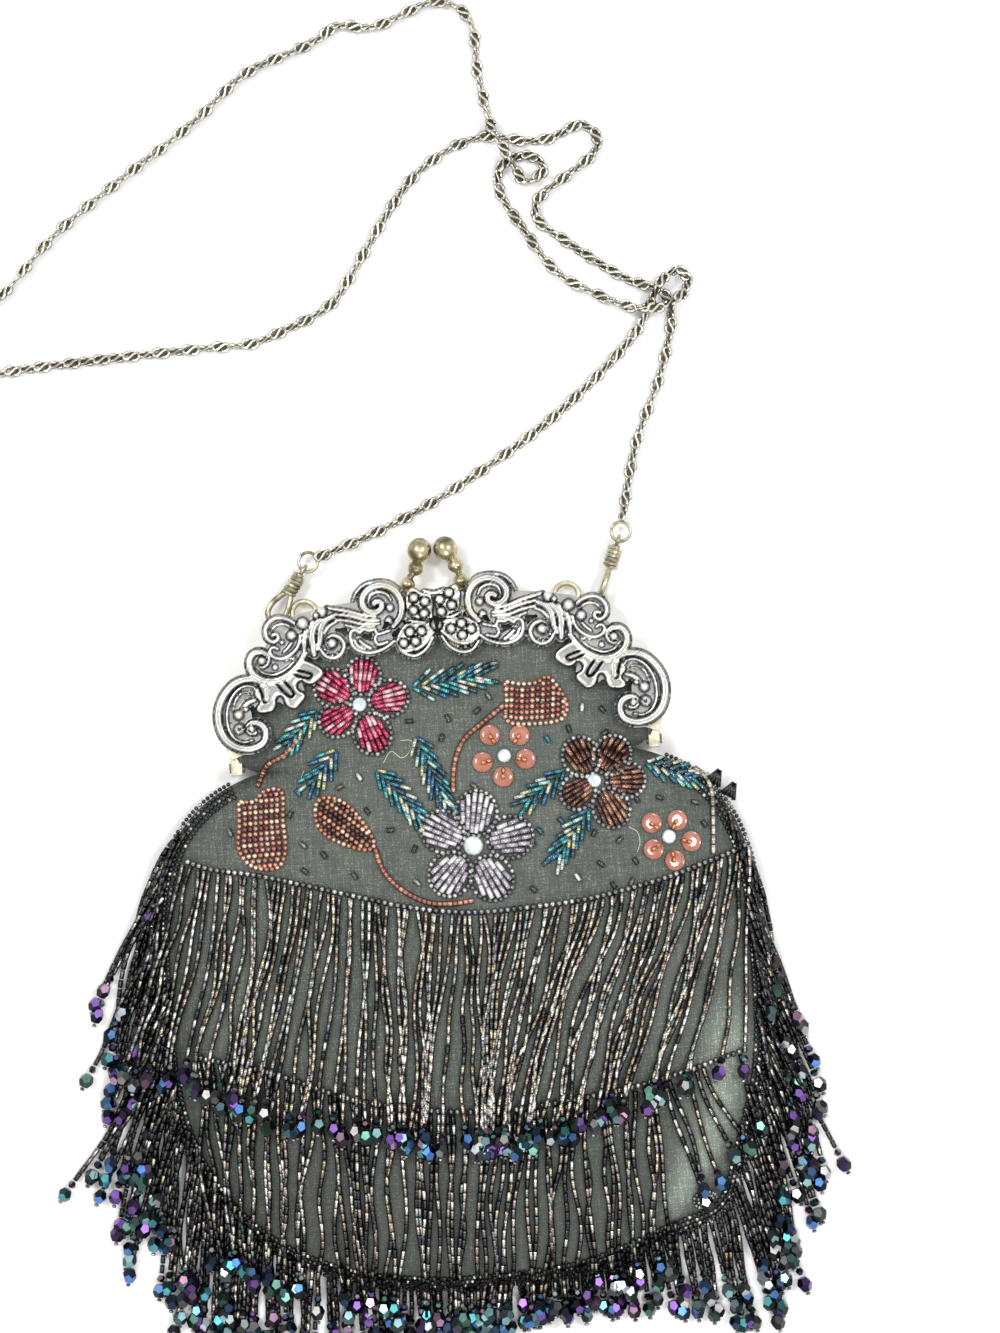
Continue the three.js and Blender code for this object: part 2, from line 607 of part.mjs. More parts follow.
function bladePoints({ x, y, toX, toY, bow }, side) {
  const [dx, dy] = [toX - x, toY - y];
  const length = Math.hypot(dx, dy);
  return [0, 0.33, 0.67, 1].map((t) => {
    const out = (bow * 4 * t * (1 - t)) / length;
    return vec(side * (x + dx * t - dy * out), y + dy * t + dx * out);
  });
}

function slab(outline, bottom, thick) {
  const shape = new THREE.Shape(outline.map((p) => new THREE.Vector2(p.x, p.y)));
  const geometry = new THREE.ExtrudeGeometry(shape, { depth: thick, bevelEnabled: false });
  return solid(geometry.translate(0, 0, bottom));
}

// A dome of the casting: a low cone with a flat top
function dome(x, y, r, bottom, high) {
  const geometry = new THREE.CylinderGeometry(r * 0.5, r, high, 6).rotateX(Math.PI / 2);
  return solid(geometry.translate(x, y, bottom + high / 2));
}

function makeScrollwork() {
  const { bottom, plate, inset } = CAST;
  const top = bottom + plate;
  const band = [[0.2, 0], [inset, 0], [inset, plate], [0.2, plate]].map(([n, z]) => new THREE.Vector2(n, z));
  const shares = Array.from({ length: 19 }, (_, i) => lerp(0.05, 0.95, i / 18));
  const parts = [loft(shares.map((u) => band.map((p) => archAt(u, p.x).setZ(bottom + p.y))), band)];
  for (const side of [-1, 1]) {
    for (const { x, y, r } of PATCHES) {
      const disc = new THREE.CylinderGeometry(r, r, plate, 12).rotateX(Math.PI / 2);
      parts.push(solid(disc.translate(side * x, y, bottom + plate / 2)));
    }
    parts.push(slab(LEAF.map((p) => ({ x: side * p.x, y: p.y })), bottom, plate));
  }
  for (const loop of BOW.loops) {
    parts.push(slab(loop.map(([x, y]) => ({ x, y })), bottom, plate + 1.1));
  }
  for (const side of [-1, 1]) {
    for (const scroll of SCROLLS) parts.push(ridge(scrollPoints(scroll, side), scroll.width, CAST.ridge));
    for (const blade of BLADES) parts.push(ridge(bladePoints(blade, side), blade.width, 1.3));
    for (const { x, y, r } of BERRIES) parts.push(dome(side * x, y, r, top - 0.3, 1.7));
  }
  for (const [x, y, r] of BOW.domes) parts.push(dome(x, y, r, top + 0.8, 1.5));
  return fuse(parts);
}

function makeChain(route) {
  return rod(route.map(([x, y, lift]) => vec(x, y, CHAIN.radius + lift)), CHAIN.radius, CHAIN.sides);
}

// Height of the underside of a strip of fringe lying on the front and past its edge
function drapeAt(x, y) {
  const edge = halfWidthAt(Math.max(y, POUCH.waistY - POUCH.footReach));
  const foot = POUCH.waistY - POUCH.footReach;
  if (y > foot + 1 && Math.abs(x) < edge - 1) {
    return Math.max(frontAt(x, y), POUCH.seamZ + 2.2) + STRIP.clearance;
  }
  const past = Math.max(foot + 1 - y, Math.abs(x) - edge + 1);
  return Math.max(POUCH.seamZ + 2.2 + STRIP.clearance - 0.3 * Math.max(0, past - 4), 4.6);
}

// A flat strip of strands along a plan path, lying at the height given for each corner
function strip(path, width, heightAt) {
  const rings = path.map((point, i) => {
    const ahead = aheadAt(path, i).setZ(0).normalize();
    const across = vec(ahead.y, -ahead.x);
    const half = (i === path.length - 1 ? 0.62 : 1) * (width / 2);
    const [left, right] = [-half, half].map((n) => point.clone().addScaledVector(across, n));
    [left, right].forEach((corner) => corner.setZ(heightAt(corner)));
    const lift = (corner) => corner.clone().setZ(corner.z + STRIP.thick);
    return [left, right, lift(right), lift(left)];
  });
  return loft(rings, [[0, 0], [1, 0], [1, 1], [0, 1]].map(([x, y]) => new THREE.Vector2(x, y)));
}

// A row of fringe: its head lies on the cloth, and its strips ride over the head of the row below, if any
function makeFringeRow({ strips, head, fall }, rides = null) {
  const lift = rides ? STRIP.thick + 0.6 : 0;
  const [first, last] = [head[0].at, head[head.length - 1].at];
  const headAt = (x) => vec(x, tableAt(head, "y", x), 0);
  const drape = (corner) => drapeAt(corner.x, corner.y) + corner.z;
  const line = Array.from({ length: strips + 1 }, (_, i) => headAt(lerp(first, last, i / strips)));
  const parts = [strip(line, STRIP.head, drape)];
  const width = (last - first) / strips - STRIP.gap;
  for (let i = 0; i < strips; i += 1) {
    const start = headAt(lerp(first, last, (i + 0.5) / strips));
    const [lean, length] = ["lean", "length"].map((column) => tableAt(fall, column, start.x));
    const over = rides ? (start.y - tableAt(rides.head, "y", start.x + lean * 0.8) - 3.4) / length : 0.65;
    const path = [[0, 0], [0.34, 0], [over, lift], [1, lift]].map(([t, z]) => (
      vec(start.x + lean * t, start.y - length * t, z)
    ));
    parts.push(strip(path, width, drape));
  }
  return fuse(parts);
}

// Seam from the left hinge round the foot to the right hinge; turn is measured from the foot
function seamPoint(turn) {
  const [side, down] = [Math.sin(turn), Math.cos(turn)];
  const [power, reach] = down >= 0
    ? [POUCH.footPower, POUCH.footReach]
    : [POUCH.shoulderPower, -POUCH.shoulderReach];
  const x = -Math.sign(side) * POUCH.halfWidth * Math.abs(side) ** (2 / power);
  return vec(x, POUCH.waistY - reach * Math.abs(down) ** (2 / power));
}

const seamCurve = new THREE.CatmullRomCurve3(Array.from({ length: 61 }, (_, i) => (
  seamPoint(lerp(1, -1, i / 60) * (Math.PI / 2 + shoulderTurn()))
)));

function makeFringeEdge() {
  const outward = (u) => {
    const along = seamCurve.getTangentAt(u);
    return vec(along.y, -along.x);
  };
  const stations = Array.from({ length: 33 }, (_, i) => lerp(0.035, 0.965, i / 32));
  const band = [[0, -1.4], [2.6, -1.4], [2.6, 1.2], [0, 1.2]].map(([n, z]) => new THREE.Vector2(n, z));
  const rings = stations.map((u) => band.map((p) => (
    seamCurve.getPointAt(u).addScaledVector(outward(u), 2 * GAP + p.x).setZ(POUCH.seamZ + p.y)
  )));
  const parts = [loft(rings, band)];
  const [first, last] = [EDGE_FRINGE[0].at, EDGE_FRINGE[EDGE_FRINGE.length - 1].at];
  for (let i = 0; i < EDGE_STRIPS; i += 1) {
    const u = lerp(first, last, i / (EDGE_STRIPS - 1));
    const [swing, length] = ["swing", "length"].map((column) => tableAt(EDGE_FRINGE, column, u));
    const fall = vec(Math.sin(radians(swing)), -Math.cos(radians(swing)));
    const abreast = Math.abs(fall.dot(seamCurve.getTangentAt(u)));
    const off = 2 * GAP + 0.3 + (EDGE_WIDTH / 2) * abreast;
    const start = seamCurve.getPointAt(u).addScaledVector(outward(u), off);
    const path = [[0, 3.7], [0.55, 0.4], [1, 0.1]].map(([t, z]) => (
      start.clone().addScaledVector(fall, length * t).setZ(z)
    ));
    parts.push(strip(path, EDGE_WIDTH, (corner) => corner.z));
  }
  return fuse(parts);
}

// A cut stone with a flat table, set along the slope of the cloth
function makeStone({ x, y, r }) {
  const slope = (dx, dy) => (frontAt(x + dx, y + dy) - frontAt(x - dx, y - dy)) / 2;
  const normal = vec(-slope(1, 0), -slope(0, 1), 1).normalize();
  const cut = new THREE.CylinderGeometry(r * 0.56, r, r * 0.62, 10).rotateX(Math.PI / 2);
  cut.applyQuaternion(new THREE.Quaternion().setFromUnitVectors(vec(0, 0, 1), normal));
  const centre = vec(x, y, frontAt(x, y)).addScaledVector(normal, GAP + 0.1 + r * 0.31);
  return solid(cut.translate(centre.x, centre.y, centre.z));
}

const bag = new THREE.Group();
bag.name = "beaded_handbag";

function addPiece(name, body, material) {
  const mesh = new THREE.Mesh(geometryOf(body), new THREE.MeshStandardMaterial(MATERIALS[material]));
  mesh.geometry.computeVertexNormals();
  mesh.name = name;
  bag.add(mesh);
}

const [outerSkin, innerSkin] = [pouchSkin(false), pouchSkin(true)];
addPiece("pouch_front", makePanel(outerSkin.front, innerSkin.front, true), "silk");
addPiece("pouch_back", makePanel(outerSkin.back, innerSkin.back, false), "silk");
addPiece("frame_front", makeFrameFront(), "brass");
addPiece("frame_back", makeFrameBack(), "brass");
addPiece("scrollwork", makeScrollwork(), "silver");
addPiece("hinge_pin_left", makePin(-1), "brass");
addPiece("hinge_pin_right", makePin(1), "brass");
addPiece("clasp_knob_front", makeKnob(
  vec(-8.6, 129.5, 7.8), vec(-7.6, 133.4, 7.4), vec(-5, 137.2, 6.2), vec(-3.6, 142.3, 5.4), 3.4,
), "brass");
addPiece("clasp_knob_back", makeKnob(
  vec(8.6, 129.5, 2.7), vec(8, 133.4, 3.0), vec(6.8, 137.4, 4.2), vec(4.2, 142.3, 5.4), 3.3,
), "brass");
for (const hanger of HANGERS) {
  addPiece(`hook_${hanger.side}`, makeHook(hanger), "antique");
  const ring = wireRing(hanger.ring, vec(0, 0, 1), RING.radius, RING.wire, 12, 5);
  addPiece(`jump_ring_${hanger.side}`, ring, "antique");
}
addPiece("chain_start", makeChain(CHAIN_START), "antique");
addPiece("chain_return", makeChain(CHAIN_RETURN), "antique");
addPiece("fringe_upper", makeFringeRow(UPPER_ROW, LOWER_ROW), "bead");
addPiece("fringe_lower", makeFringeRow(LOWER_ROW), "bead");
addPiece("fringe_edge", makeFringeEdge(), "bead");
for (const stone of STONES) addPiece(stone.name, makeStone(stone), "stone");

export default bag;
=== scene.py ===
"""Beaded evening handbag lying on its back: silk pouch, cast frame, clasp, link chain and bead fringe.

Measures in the tables are millimetres in the bag's own frame: +X right, +Y from foot to clasp, +Z up.
"""

import math
import random

import bmesh
import bpy
import numpy as np
from bpy.props import FloatProperty, FloatVectorProperty, IntProperty, PointerProperty
from mathutils import Matrix, Vector
from mathutils.bvhtree import BVHTree


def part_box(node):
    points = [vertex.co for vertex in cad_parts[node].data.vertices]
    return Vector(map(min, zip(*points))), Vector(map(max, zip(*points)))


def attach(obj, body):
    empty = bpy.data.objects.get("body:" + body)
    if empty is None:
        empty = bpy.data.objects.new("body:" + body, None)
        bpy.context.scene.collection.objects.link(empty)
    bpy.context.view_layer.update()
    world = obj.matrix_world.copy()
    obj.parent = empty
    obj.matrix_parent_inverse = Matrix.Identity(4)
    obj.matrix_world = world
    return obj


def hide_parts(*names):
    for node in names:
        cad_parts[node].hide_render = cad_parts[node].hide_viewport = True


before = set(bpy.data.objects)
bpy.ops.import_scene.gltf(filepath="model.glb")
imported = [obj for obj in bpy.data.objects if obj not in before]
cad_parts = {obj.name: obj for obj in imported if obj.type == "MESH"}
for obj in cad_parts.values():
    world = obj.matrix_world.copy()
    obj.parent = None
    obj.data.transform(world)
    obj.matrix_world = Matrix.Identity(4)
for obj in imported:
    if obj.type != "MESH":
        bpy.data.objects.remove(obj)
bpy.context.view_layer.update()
MM = 0.001

bl_info = {
    "name": "Beaded evening handbag",
    "version": (1, 0, 0),
    "blender": (4, 5, 0),
    "location": "View3D > Sidebar > Handbag",
    "description": "Builds a beaded evening handbag around its packed frame",
    "category": "Object",
}

# Plan of the pouch
HALF_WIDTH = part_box("pouch_front")[1].x / MM
WAIST_Y = 6
FOOT = {"reach": 85, "power": 2.5}
SHOULDER = {"reach": 77, "power": 3.6}
HINGE_Y = 79
SEAM_Z = 5
BACK_DEPTH = 5.4
HINGE_CROWN = 9
RIM = {"inset": 3.2, "front": 8.9, "back": 1.5}
# Squarer corner at the lower right: its middle, its reach and how far it is pulled out
CORNER = {"middle": (74, -57), "reach": (15, 13), "pull": (3.2, -5.5)}

# Frame: channel section as (inward, up); its outer edge, right half, from the rail's middle to the leg
CHANNEL = {
    "front": [(0, 5.5), (0, 10.5), (6, 10.5), (6, 9.5), (1, 9.5), (1, 6.8), (6, 6.8), (6, 5.5)],
    "back": [(0, 0.05), (0, 5.2), (6, 5.2), (6, 3.9), (1, 3.9), (1, 1), (6, 1), (6, 0.05)],
}
ARCH = [
    (0, 129.2), (20, 128.6), (34, 127.2), (43, 125), (49.6, 118.9), (57.4, 109.6), (64.2, 102),
    (66.9, 96.5), (66, 90), (63.9, 83.6),
]
# Ears at the hinge by their faces across and up, the strip over the hinge, the hook lugs and two half rings
EARS = {
    "front": {"across": (62.9, 64.1), "up": (3.2, 7.6)},
    "back": {"across": (61.4, 62.5), "up": (3.1, 7.5)},
}
EAR = {"length": 8.6, "middle": 82.9, "round": 0.5, "longest_round_edge": 4.6}
LEG = {"size": (3.4, 9.4, 1.0), "middle": (62.6, 83.4, 8.6), "round": 0.3}
LUG = {"reach": 3.7, "foot": 1.95, "radius": 1.75, "wire": 0.55}
HALF_RING = {"middle": (39.6, 126, 2.6), "radius": 3.6, "wire": 0.85, "start": -6, "lean": 14, "turn": 192}

# Cast relief of the right half: strokes as (width, height, points)
STROKES = [
    (1.9, 2.2, [(12.8, 120.2), (10.5, 122.8), (9.9, 126.4), (10.9, 129.6), (13.3, 131.9), (16.6, 132.6),
     (19.6, 131.4), (21.5, 128.8), (21.3, 126.4), (19.6, 124.9), (17.4, 124.7), (15.9, 125.8),
     (15.9, 127.3), (17.1, 127.9), (18.1, 127.2)]),
    (0.9, 1.5, [(10.4, 131.2), (13.2, 133.3), (17, 133.8), (20.6, 133), (23.2, 130.8), (24.4, 128.4)]),
    (1.1, 1.6, [(13, 127.9), (14.2, 129.8), (16.8, 130.6), (19, 129.6), (19.8, 127.6)]),
    (1.3, 1.7, [(18, 123.4), (21.4, 124), (26, 125.5), (30, 126.4), (32.2, 126.9)]),
    (1.3, 1.6, [(17, 122.2), (21, 122.6), (25.4, 124), (30, 124.9)]),
    (1.2, 1.5, [(17, 121.2), (22, 121.4), (26, 122.6), (29.6, 123.2)]),
    (1.1, 1.3, [(18.4, 120.4), (22.6, 120.2), (27, 121.4)]),
    (1.3, 1.9, [(14, 118.9), (17.8, 118.2), (18.4, 119.6), (20.2, 119.3), (21.6, 119.9), (23, 118.9),
     (24.1, 119.8), (25.4, 119.3), (25.8, 117), (24.9, 114.6), (22.5, 113.1), (19, 112.8), (15.2, 114),
     (12.8, 115.7)]),
    (1.2, 1.7, [(18, 118), (18.5, 116.2), (17.6, 115), (14.8, 115.6)]),
    (1.4, 1.8, [(23, 116.4), (21.6, 115), (20, 114)]),
    (1.1, 1.5, [(24.7, 117), (23.8, 115.1), (21.8, 113.8)]),
    (1.4, 1.9, [(34.8, 114.6), (33.6, 112.7), (31, 111.9), (28.8, 113), (27.8, 115.4), (28.8, 117.6),
     (30.8, 118.6), (32.7, 117.6), (32.8, 115.8), (31.4, 114.8)]),
    (1.7, 1.9, [(30.4, 124.4), (33, 123), (34.5, 120.4), (34.9, 117.4), (35.7, 115)]),
    (1.8, 2.0, [(33.4, 124.2), (36, 122), (37.2, 118.8), (37.1, 115.6), (36.9, 113.3)]),
    (1.6, 1.8, [(36.6, 123), (38.7, 120.6), (39.6, 117.4), (39.8, 114.4)]),
    (1.2, 1.5, [(29.6, 122.6), (31.8, 121.5), (33.4, 119.4)]),
    (1.4, 1.9, [(41.4, 122.4), (44, 124.3), (47.4, 125), (50, 123.4), (51, 121), (50.4, 118.8),
     (48.6, 117.9), (47.2, 118.9), (47.8, 120.2), (49, 119.9)]),
    (0.9, 1.3, [(42.8, 121.6), (45.2, 123), (47.6, 122.8), (49.1, 121.4)]),
    (1.1, 1.5, [(42.8, 118.2), (44.2, 116.2), (46, 114.6)]),
    (1.3, 1.8, [(40.6, 119.4), (41.5, 116.2), (43.7, 113.9), (46.6, 112.8), (49.2, 113.5), (50, 115.2),
     (49, 116.4), (47.6, 115.7)]),
    (1.8, 2.2, [(39.6, 113.8), (42, 110.4), (45, 107.8), (49, 106.3), (53, 106.9), (55.9, 109.4),
     (56.4, 112.4), (55, 114.8), (52.6, 115.2), (50.9, 113.7), (51.1, 111.7), (52.7, 110.9), (53.6, 112)]),
    (0.9, 1.4, [(42.4, 112.2), (45.4, 109.7), (49.2, 108.2), (52.6, 109), (54.4, 110.9)]),
    (0.8, 1.1, [(42.6, 113.4), (43.6, 112.4), (44.3, 113), (45.2, 112), (46, 112.4)]),
    (2.0, 2.3, [(52, 101), (51.7, 103.8), (53.4, 106.3), (57, 107.4), (61, 106.4), (64.4, 103.2),
     (66.5, 98.8), (66.6, 94), (64.9, 89.8), (61.4, 87.2), (57, 86.7), (53.7, 88.3), (52.9, 91.2),
     (54, 93.5), (56.4, 94.3), (58.1, 93.1), (57.6, 91.6), (56.2, 91.3)]),
    (1.0, 1.6, [(54.8, 102.4), (55.6, 104.8), (58, 105.4), (60.8, 104), (63, 101), (64.1, 97.4), (63.9, 93),
     (62.3, 90), (59.6, 88.7), (56.8, 89.2)]),
    (0.8, 1.2, [(57.2, 103.4), (59.5, 103.2), (61.4, 101), (62.3, 98)]),
    (1.5, 1.7, [(55.6, 101), (57.4, 100.4), (59, 99), (60.2, 97.6)]),
]
# Lobed leaf under the scrolls of the right half, and the slots cut into it
LEAF_PLATE = [
    (40.5, 112.3), (37.4, 110.8), (34.9, 109), (34.5, 107.1), (36.1, 105.5), (38.2, 104.4), (40, 104.7),
    (41.4, 105.7), (42.6, 104.5), (42.2, 103.2), (40.6, 102.2), (40.3, 100.7), (41.9, 98.8), (43.4, 97.5),
    (45.6, 98), (46.7, 99.4), (47.1, 100.9), (48.1, 101.7), (49, 100.7), (49.3, 98.7), (50.2, 97.3),
    (54.8, 97.1), (55.3, 98.8), (54.2, 100.2), (55.7, 102.6), (54.2, 105.3), (50.8, 106), (47.3, 106.2),
    (44.4, 107.7), (42.1, 110.5),
]
LEAF_SLOTS = [
    [(42.8, 109.1), (39.1, 108), (38, 107.3), (38.6, 106.5), (40.5, 106.7), (43.7, 108)],
    [(46.7, 106.3), (44.3, 103.2), (43.8, 101.8), (44.6, 101.2), (45.9, 102), (49, 105.7)],
    [(51.8, 105.3), (51.4, 102.9), (51.7, 100.3), (52.7, 100.2), (53.3, 102.8), (54.1, 105.1)],
]
# Domes of the right half: x, y, radius, height; and low patches that back the relief: x, y, radius
DOMES = [
    (13.4, 125.7, 1.3, 1.8), (14, 121.9, 1.3, 1.8), (31.3, 116.3, 1.5, 1.9), (33.8, 125.9, 1.6, 2.0),
    (35.6, 124.9, 0.9, 1.6), (39.7, 122.8, 1.8, 2.2), (43.3, 119.5, 1.6, 2.1), (52.6, 112.6, 1.3, 2.0),
    (60.6, 96.9, 1.6, 2.0), (60.7, 92.7, 1.7, 2.1), (58.3, 98.4, 0.8, 1.6), (57, 92.6, 1.0, 1.8),
    (48.8, 110.4, 1.0, 1.2), (30, 113.3, 0.45, 1.5), (31.4, 112.9, 0.45, 1.5), (32.8, 113.5, 0.45, 1.5),
    (33.7, 114.6, 0.45, 1.5), (46.2, 117.6, 0.8, 1.4),
]
PATCHES = [
    (14.5, 126.4, 4.8), (18, 128.2, 4.6), (19, 122.2, 3.6), (24.6, 122.8, 3.2), (29, 124, 3.4),
    (33.6, 122.6, 4), (31, 115.4, 3.6), (36.8, 119, 4), (41, 119, 4), (45.6, 119.4, 5.4),
    (45.4, 114.4, 4.6), (50, 111.4, 5), (53, 112.4, 3.8), (39, 107.6, 3.4), (44.8, 102.6, 4.2),
    (49.4, 103.4, 3.6), (52.8, 101, 3.6), (48, 107, 3), (62.6, 101, 3), (64.6, 97, 2.4), (63.6, 92, 2.6),
    (57.6, 90.2, 3.4), (59.6, 104.6, 2.4), (60.4, 96.6, 3.6), (21.6, 114.2, 2.4), (16, 116.8, 2.6),
]
# Bow: outlines of its loops and tails, lines along them, domes on them and the knot
BOW_LOOPS = [
    [(-0.8, 121.4), (-4.4, 121.7), (-7.8, 123), (-8.7, 126.4), (-8.1, 130), (-6, 131.2), (-3.8, 129.7),
     (-0.9, 128.7), (-0.5, 125)],
    [(0.3, 121.6), (0.2, 125), (0.2, 128.4), (2, 129.5), (4.4, 130.7), (6.4, 131.4), (7.8, 129.4),
     (7.6, 126), (7, 123.7), (4.4, 122.5), (2.6, 121.4)],
    [(-0.8, 121), (-3.4, 120.4), (-9, 120.6), (-11.4, 118), (-12.4, 114.8), (-10.4, 112.2), (-6.6, 112.2),
     (-3.4, 113.8), (-1.4, 116.2), (-0.4, 117.6)],
    [(0.6, 117.8), (1.4, 120.6), (6.4, 121.6), (8.4, 121.7), (12.6, 119), (12.8, 115.6), (10.8, 113.6),
     (7.6, 113), (4.4, 114.2), (2, 116.4)],
]
BOW_LINES = [
    (1.2, 1.9, [(-12, 115.2), (-10.8, 112.4), (-7, 110.9), (-3.6, 112.5), (-1.2, 115.9)]),
    (1.2, 1.9, [(1.4, 116.2), (3.6, 112.9), (7, 111.1), (10.2, 111.5), (12.4, 114)]),
    (1.0, 1.6, [(-8.2, 121.6), (-5.6, 120.9), (-3.2, 120.7)]),
    (1.0, 1.6, [(3.4, 121.6), (5.4, 122), (7.4, 122.9)]),
    (1.2, 1.5, [(-3, 130), (0, 129.2), (3, 130)]),
]
BOW_DOMES = [
    (-6.1, 128.1), (-3, 126.8), (-6.4, 124.4), (-3.4, 123.3), (1.6, 127.1), (4.4, 128.9), (5, 125.2),
    (1.8, 123.5), (-8, 118), (-4.5, 118), (-10, 114.9), (-6.5, 115.2), (4.4, 118.2), (7.5, 119.6),
    (10.3, 117.8), (7.6, 116.1),
]
# A dome's radius, the level it stands on and its height; and the same of the knot, after its place
BOW_DOME = (1.35, 1.0, 1.3)
BOW_KNOT = (0.1, 119.8, 1.7, 0.8, 1.7)

# Route of the chain from the left jump ring and back to the right one: x, y, lift off the floor
CHAIN_ROUTE = [
    (-34.8, 142.2, 2.1), (-27, 145, 0.9), (-20, 147.4, 0), (0, 156, 0), (32, 174.6, 0), (50, 188.2, 0),
    (65.5, 203, 0), (68.4, 207.2, 0), (70.2, 211, 0.5), (72, 214.4, 2.3), (74.6, 218.2, 3.2),
    (78.2, 221.6, 1.4), (81.8, 220.8, 0.2), (83.2, 217.2, 0.1), (80.8, 213.8, 1.5), (77, 211.4, 3.1),
    (73, 210.1, 3.5), (69.2, 209.9, 3.4), (65, 211, 1.5), (60, 213.2, 0), (50, 218.6, 0), (46, 220.9, 0),
    (41, 226, 0), (34.6, 236.4, 0), (28, 248, 0), (27.4, 253, 0), (29, 256.8, 0), (32.2, 258.6, 0),
    (36.4, 259.2, 0), (40.8, 257.6, 0), (42.2, 254.8, 0), (39.4, 252, 0), (36.2, 250.2, 0),
    (34.2, 252.6, 0.8), (32.8, 255.6, 2.5), (31.2, 259, 3.2), (29.3, 262.4, 3.2), (27.4, 265.8, 3.2),
    (26.4, 269.6, 1.6), (25.6, 274, 0), (23.6, 287, 0), (23.8, 294, 0), (22.8, 300.5, 0), (19.4, 305, 0),
    (13, 307.4, 0), (-6, 300.8, 0), (-12, 301, 0), (-17.4, 302.6, 0), (-21, 299.6, 0), (-28, 296.2, 0),
    (-46, 289.5, 0), (-62, 276.4, 0), (-106, 245.6, 0), (-124, 227.6, 0), (-134, 219.4, 0), (-152, 209, 0),
    (-156.6, 204.6, 0), (-155.6, 200.2, 0), (-150.6, 198.8, 0), (-137, 202.6, 0), (-126, 204.6, 0),
    (-62, 207.8, 0), (-50, 208, 0), (-42, 210.6, 0), (-25, 218.2, 0), (-20, 224.4, 0), (-4, 247.6, 0),
    (1.4, 254, 0), (8, 259.2, 0), (15, 263, 0), (21.6, 265.2, 0), (27.4, 265.6, 0), (33, 264, 0),
    (39.6, 263.2, 0), (46, 264, 0), (51, 266.6, 0), (54.8, 267.6, 0), (57.8, 264.4, 0), (59, 260.4, 0),
    (56.4, 257.4, 0), (44.6, 249.6, 0), (39.4, 246, 0), (37.9, 242.4, 0), (38.9, 238.4, 0), (42, 236.2, 0),
    (51.6, 228.6, 0), (66, 218.8, 0), (70.6, 217.4, 0), (74.4, 215.6, 0), (76.6, 212.4, 0),
    (77.2, 208.4, 0), (76.4, 203.6, 0), (72.6, 191, 0), (63.6, 170, 0), (59.9, 156, 0), (58.6, 150.6, 1),
    (57.8, 147.4, 2.1),
]
# Height of a resting chain's middle, and the dark sheet of painted shadow inside a link: length, width,
# tint
CHAIN_Z = 1.92
SHADOW_WEB = {"length": 5.0, "width": 2.9, "tint": (0.075, 0.069, 0.054)}
# One link seen flat: an S with curled ends, along the chain and across it
LINK = [
    (0.1, -1.3), (0.9, -1.42), (1.7, -1.2), (2.3, -0.55), (2.35, 0.3), (1.85, 0.85), (1.1, 0.75),
    (0.45, 0.35), (0, 0), (-0.45, -0.35), (-1.1, -0.75), (-1.85, -0.85), (-2.35, -0.3), (-2.3, 0.55),
    (-1.7, 1.2), (-0.9, 1.42), (-0.1, 1.3),
]

# Hooks: share of the way round the frame, direction in plan, and whether the loop lies flat
HOOKS = {
    "left": {"share": 0.243, "towards": (0.589, 0.808), "flat": True},
    "right": {"share": 0.757, "towards": (0.362, 0.932), "flat": False},
}
HOOK_Z = 3.5
# A limb of the hook from neck to bend: along the hook and across it; then coil, neck, eye and jump ring
LIMB = {"points": [(10.1, 0.7), (7.5, 1.8), (4.4, 2.6), (1.6, 2.24), (0.4, 1.1)], "wire": 0.9}
COIL = {"turns": 5, "steps": 12, "start": 9.6, "length": 6.2, "radius": 1.65, "wire": 0.68}
NECK = {"start": 9.4, "end": 16.7, "radius": 1.2}
EYE = {"at": 18, "radius": 1.45, "wire": 0.6}
JUMP_RING = {"at": 20.9, "radius": 2.9, "wire": 0.5}
# Stems of the clasp from root to ball, the ball, and its barrels as radius and height
KNOBS = {
    "front": [(-8.6, 129.5, 7.8), (-7.6, 133.4, 7.4), (-5, 137.2, 6.2), (-3.6, 142.3, 5.4)],
    "back": [(8.6, 129.5, 2.7), (8, 133.4, 3.0), (6.8, 137.4, 4.2), (4.2, 142.3, 5.4)],
}
BALL = {"radius": 3.6, "half": 3.88}
BARREL, WASHER, STEM_WIRE = (2.4, 3.8), (2.1, 1.3), 1.0

# Fringe rows on the front: line of the head; then at each place the strands' lean in degrees and their end
UPPER_HEAD = [
    (-80, 54.4), (-72, 51.4), (-60, 49.3), (-30, 41.2), (-12, 36.4), (5, 34), (24, 34.4), (40, 35.6),
    (62, 39.6), (76, 43.6), (84, 46), (88.4, 47.8),
]
UPPER_FALL = [
    (-84, -20, -14), (-70, -20, -22), (-56, -13, -28), (-40, -7, -33), (-15, -4, -37), (4, -8, -39),
    (18, -15, -39), (33, -20, -36), (55, -24, -28), (72, -17, -24), (84, -10, -22), (92, -8, -20),
]
LOWER_HEAD = [
    (-80, -4.2), (-60, -9), (-32, -19.4), (5, -25), (30, -23.4), (55, -20), (70, -16.6), (84, -13.2),
]
LOWER_FALL = [
    (-80, -6, -70), (-62, -10, -80), (-44, -3, -88), (-20, -5, -93), (10, -6, -93), (40, -6, -88),
    (57, -3, -83), (58.5, 30, -66), (70, 33, -58), (84, 38, -42),
]
# Fringe round the seam: share of the way from left hinge to right, swing from straight down, length
EDGE_FALL = [
    (0.06, -33, 42), (0.1, -31, 53), (0.15, -31, 57), (0.2, -29, 57), (0.24, -23, 55), (0.28, -16, 52),
    (0.32, -9, 46), (0.36, -6, 38), (0.4, -4, 29), (0.45, -2, 23), (0.5, 0, 20), (0.56, 2, 20),
    (0.6, 4, 24), (0.64, 7, 34), (0.68, 12, 46), (0.72, 16, 51), (0.76, 19, 53), (0.8, 22, 51),
    (0.84, 21, 45), (0.88, 12, 32), (0.92, 12, 14),
]
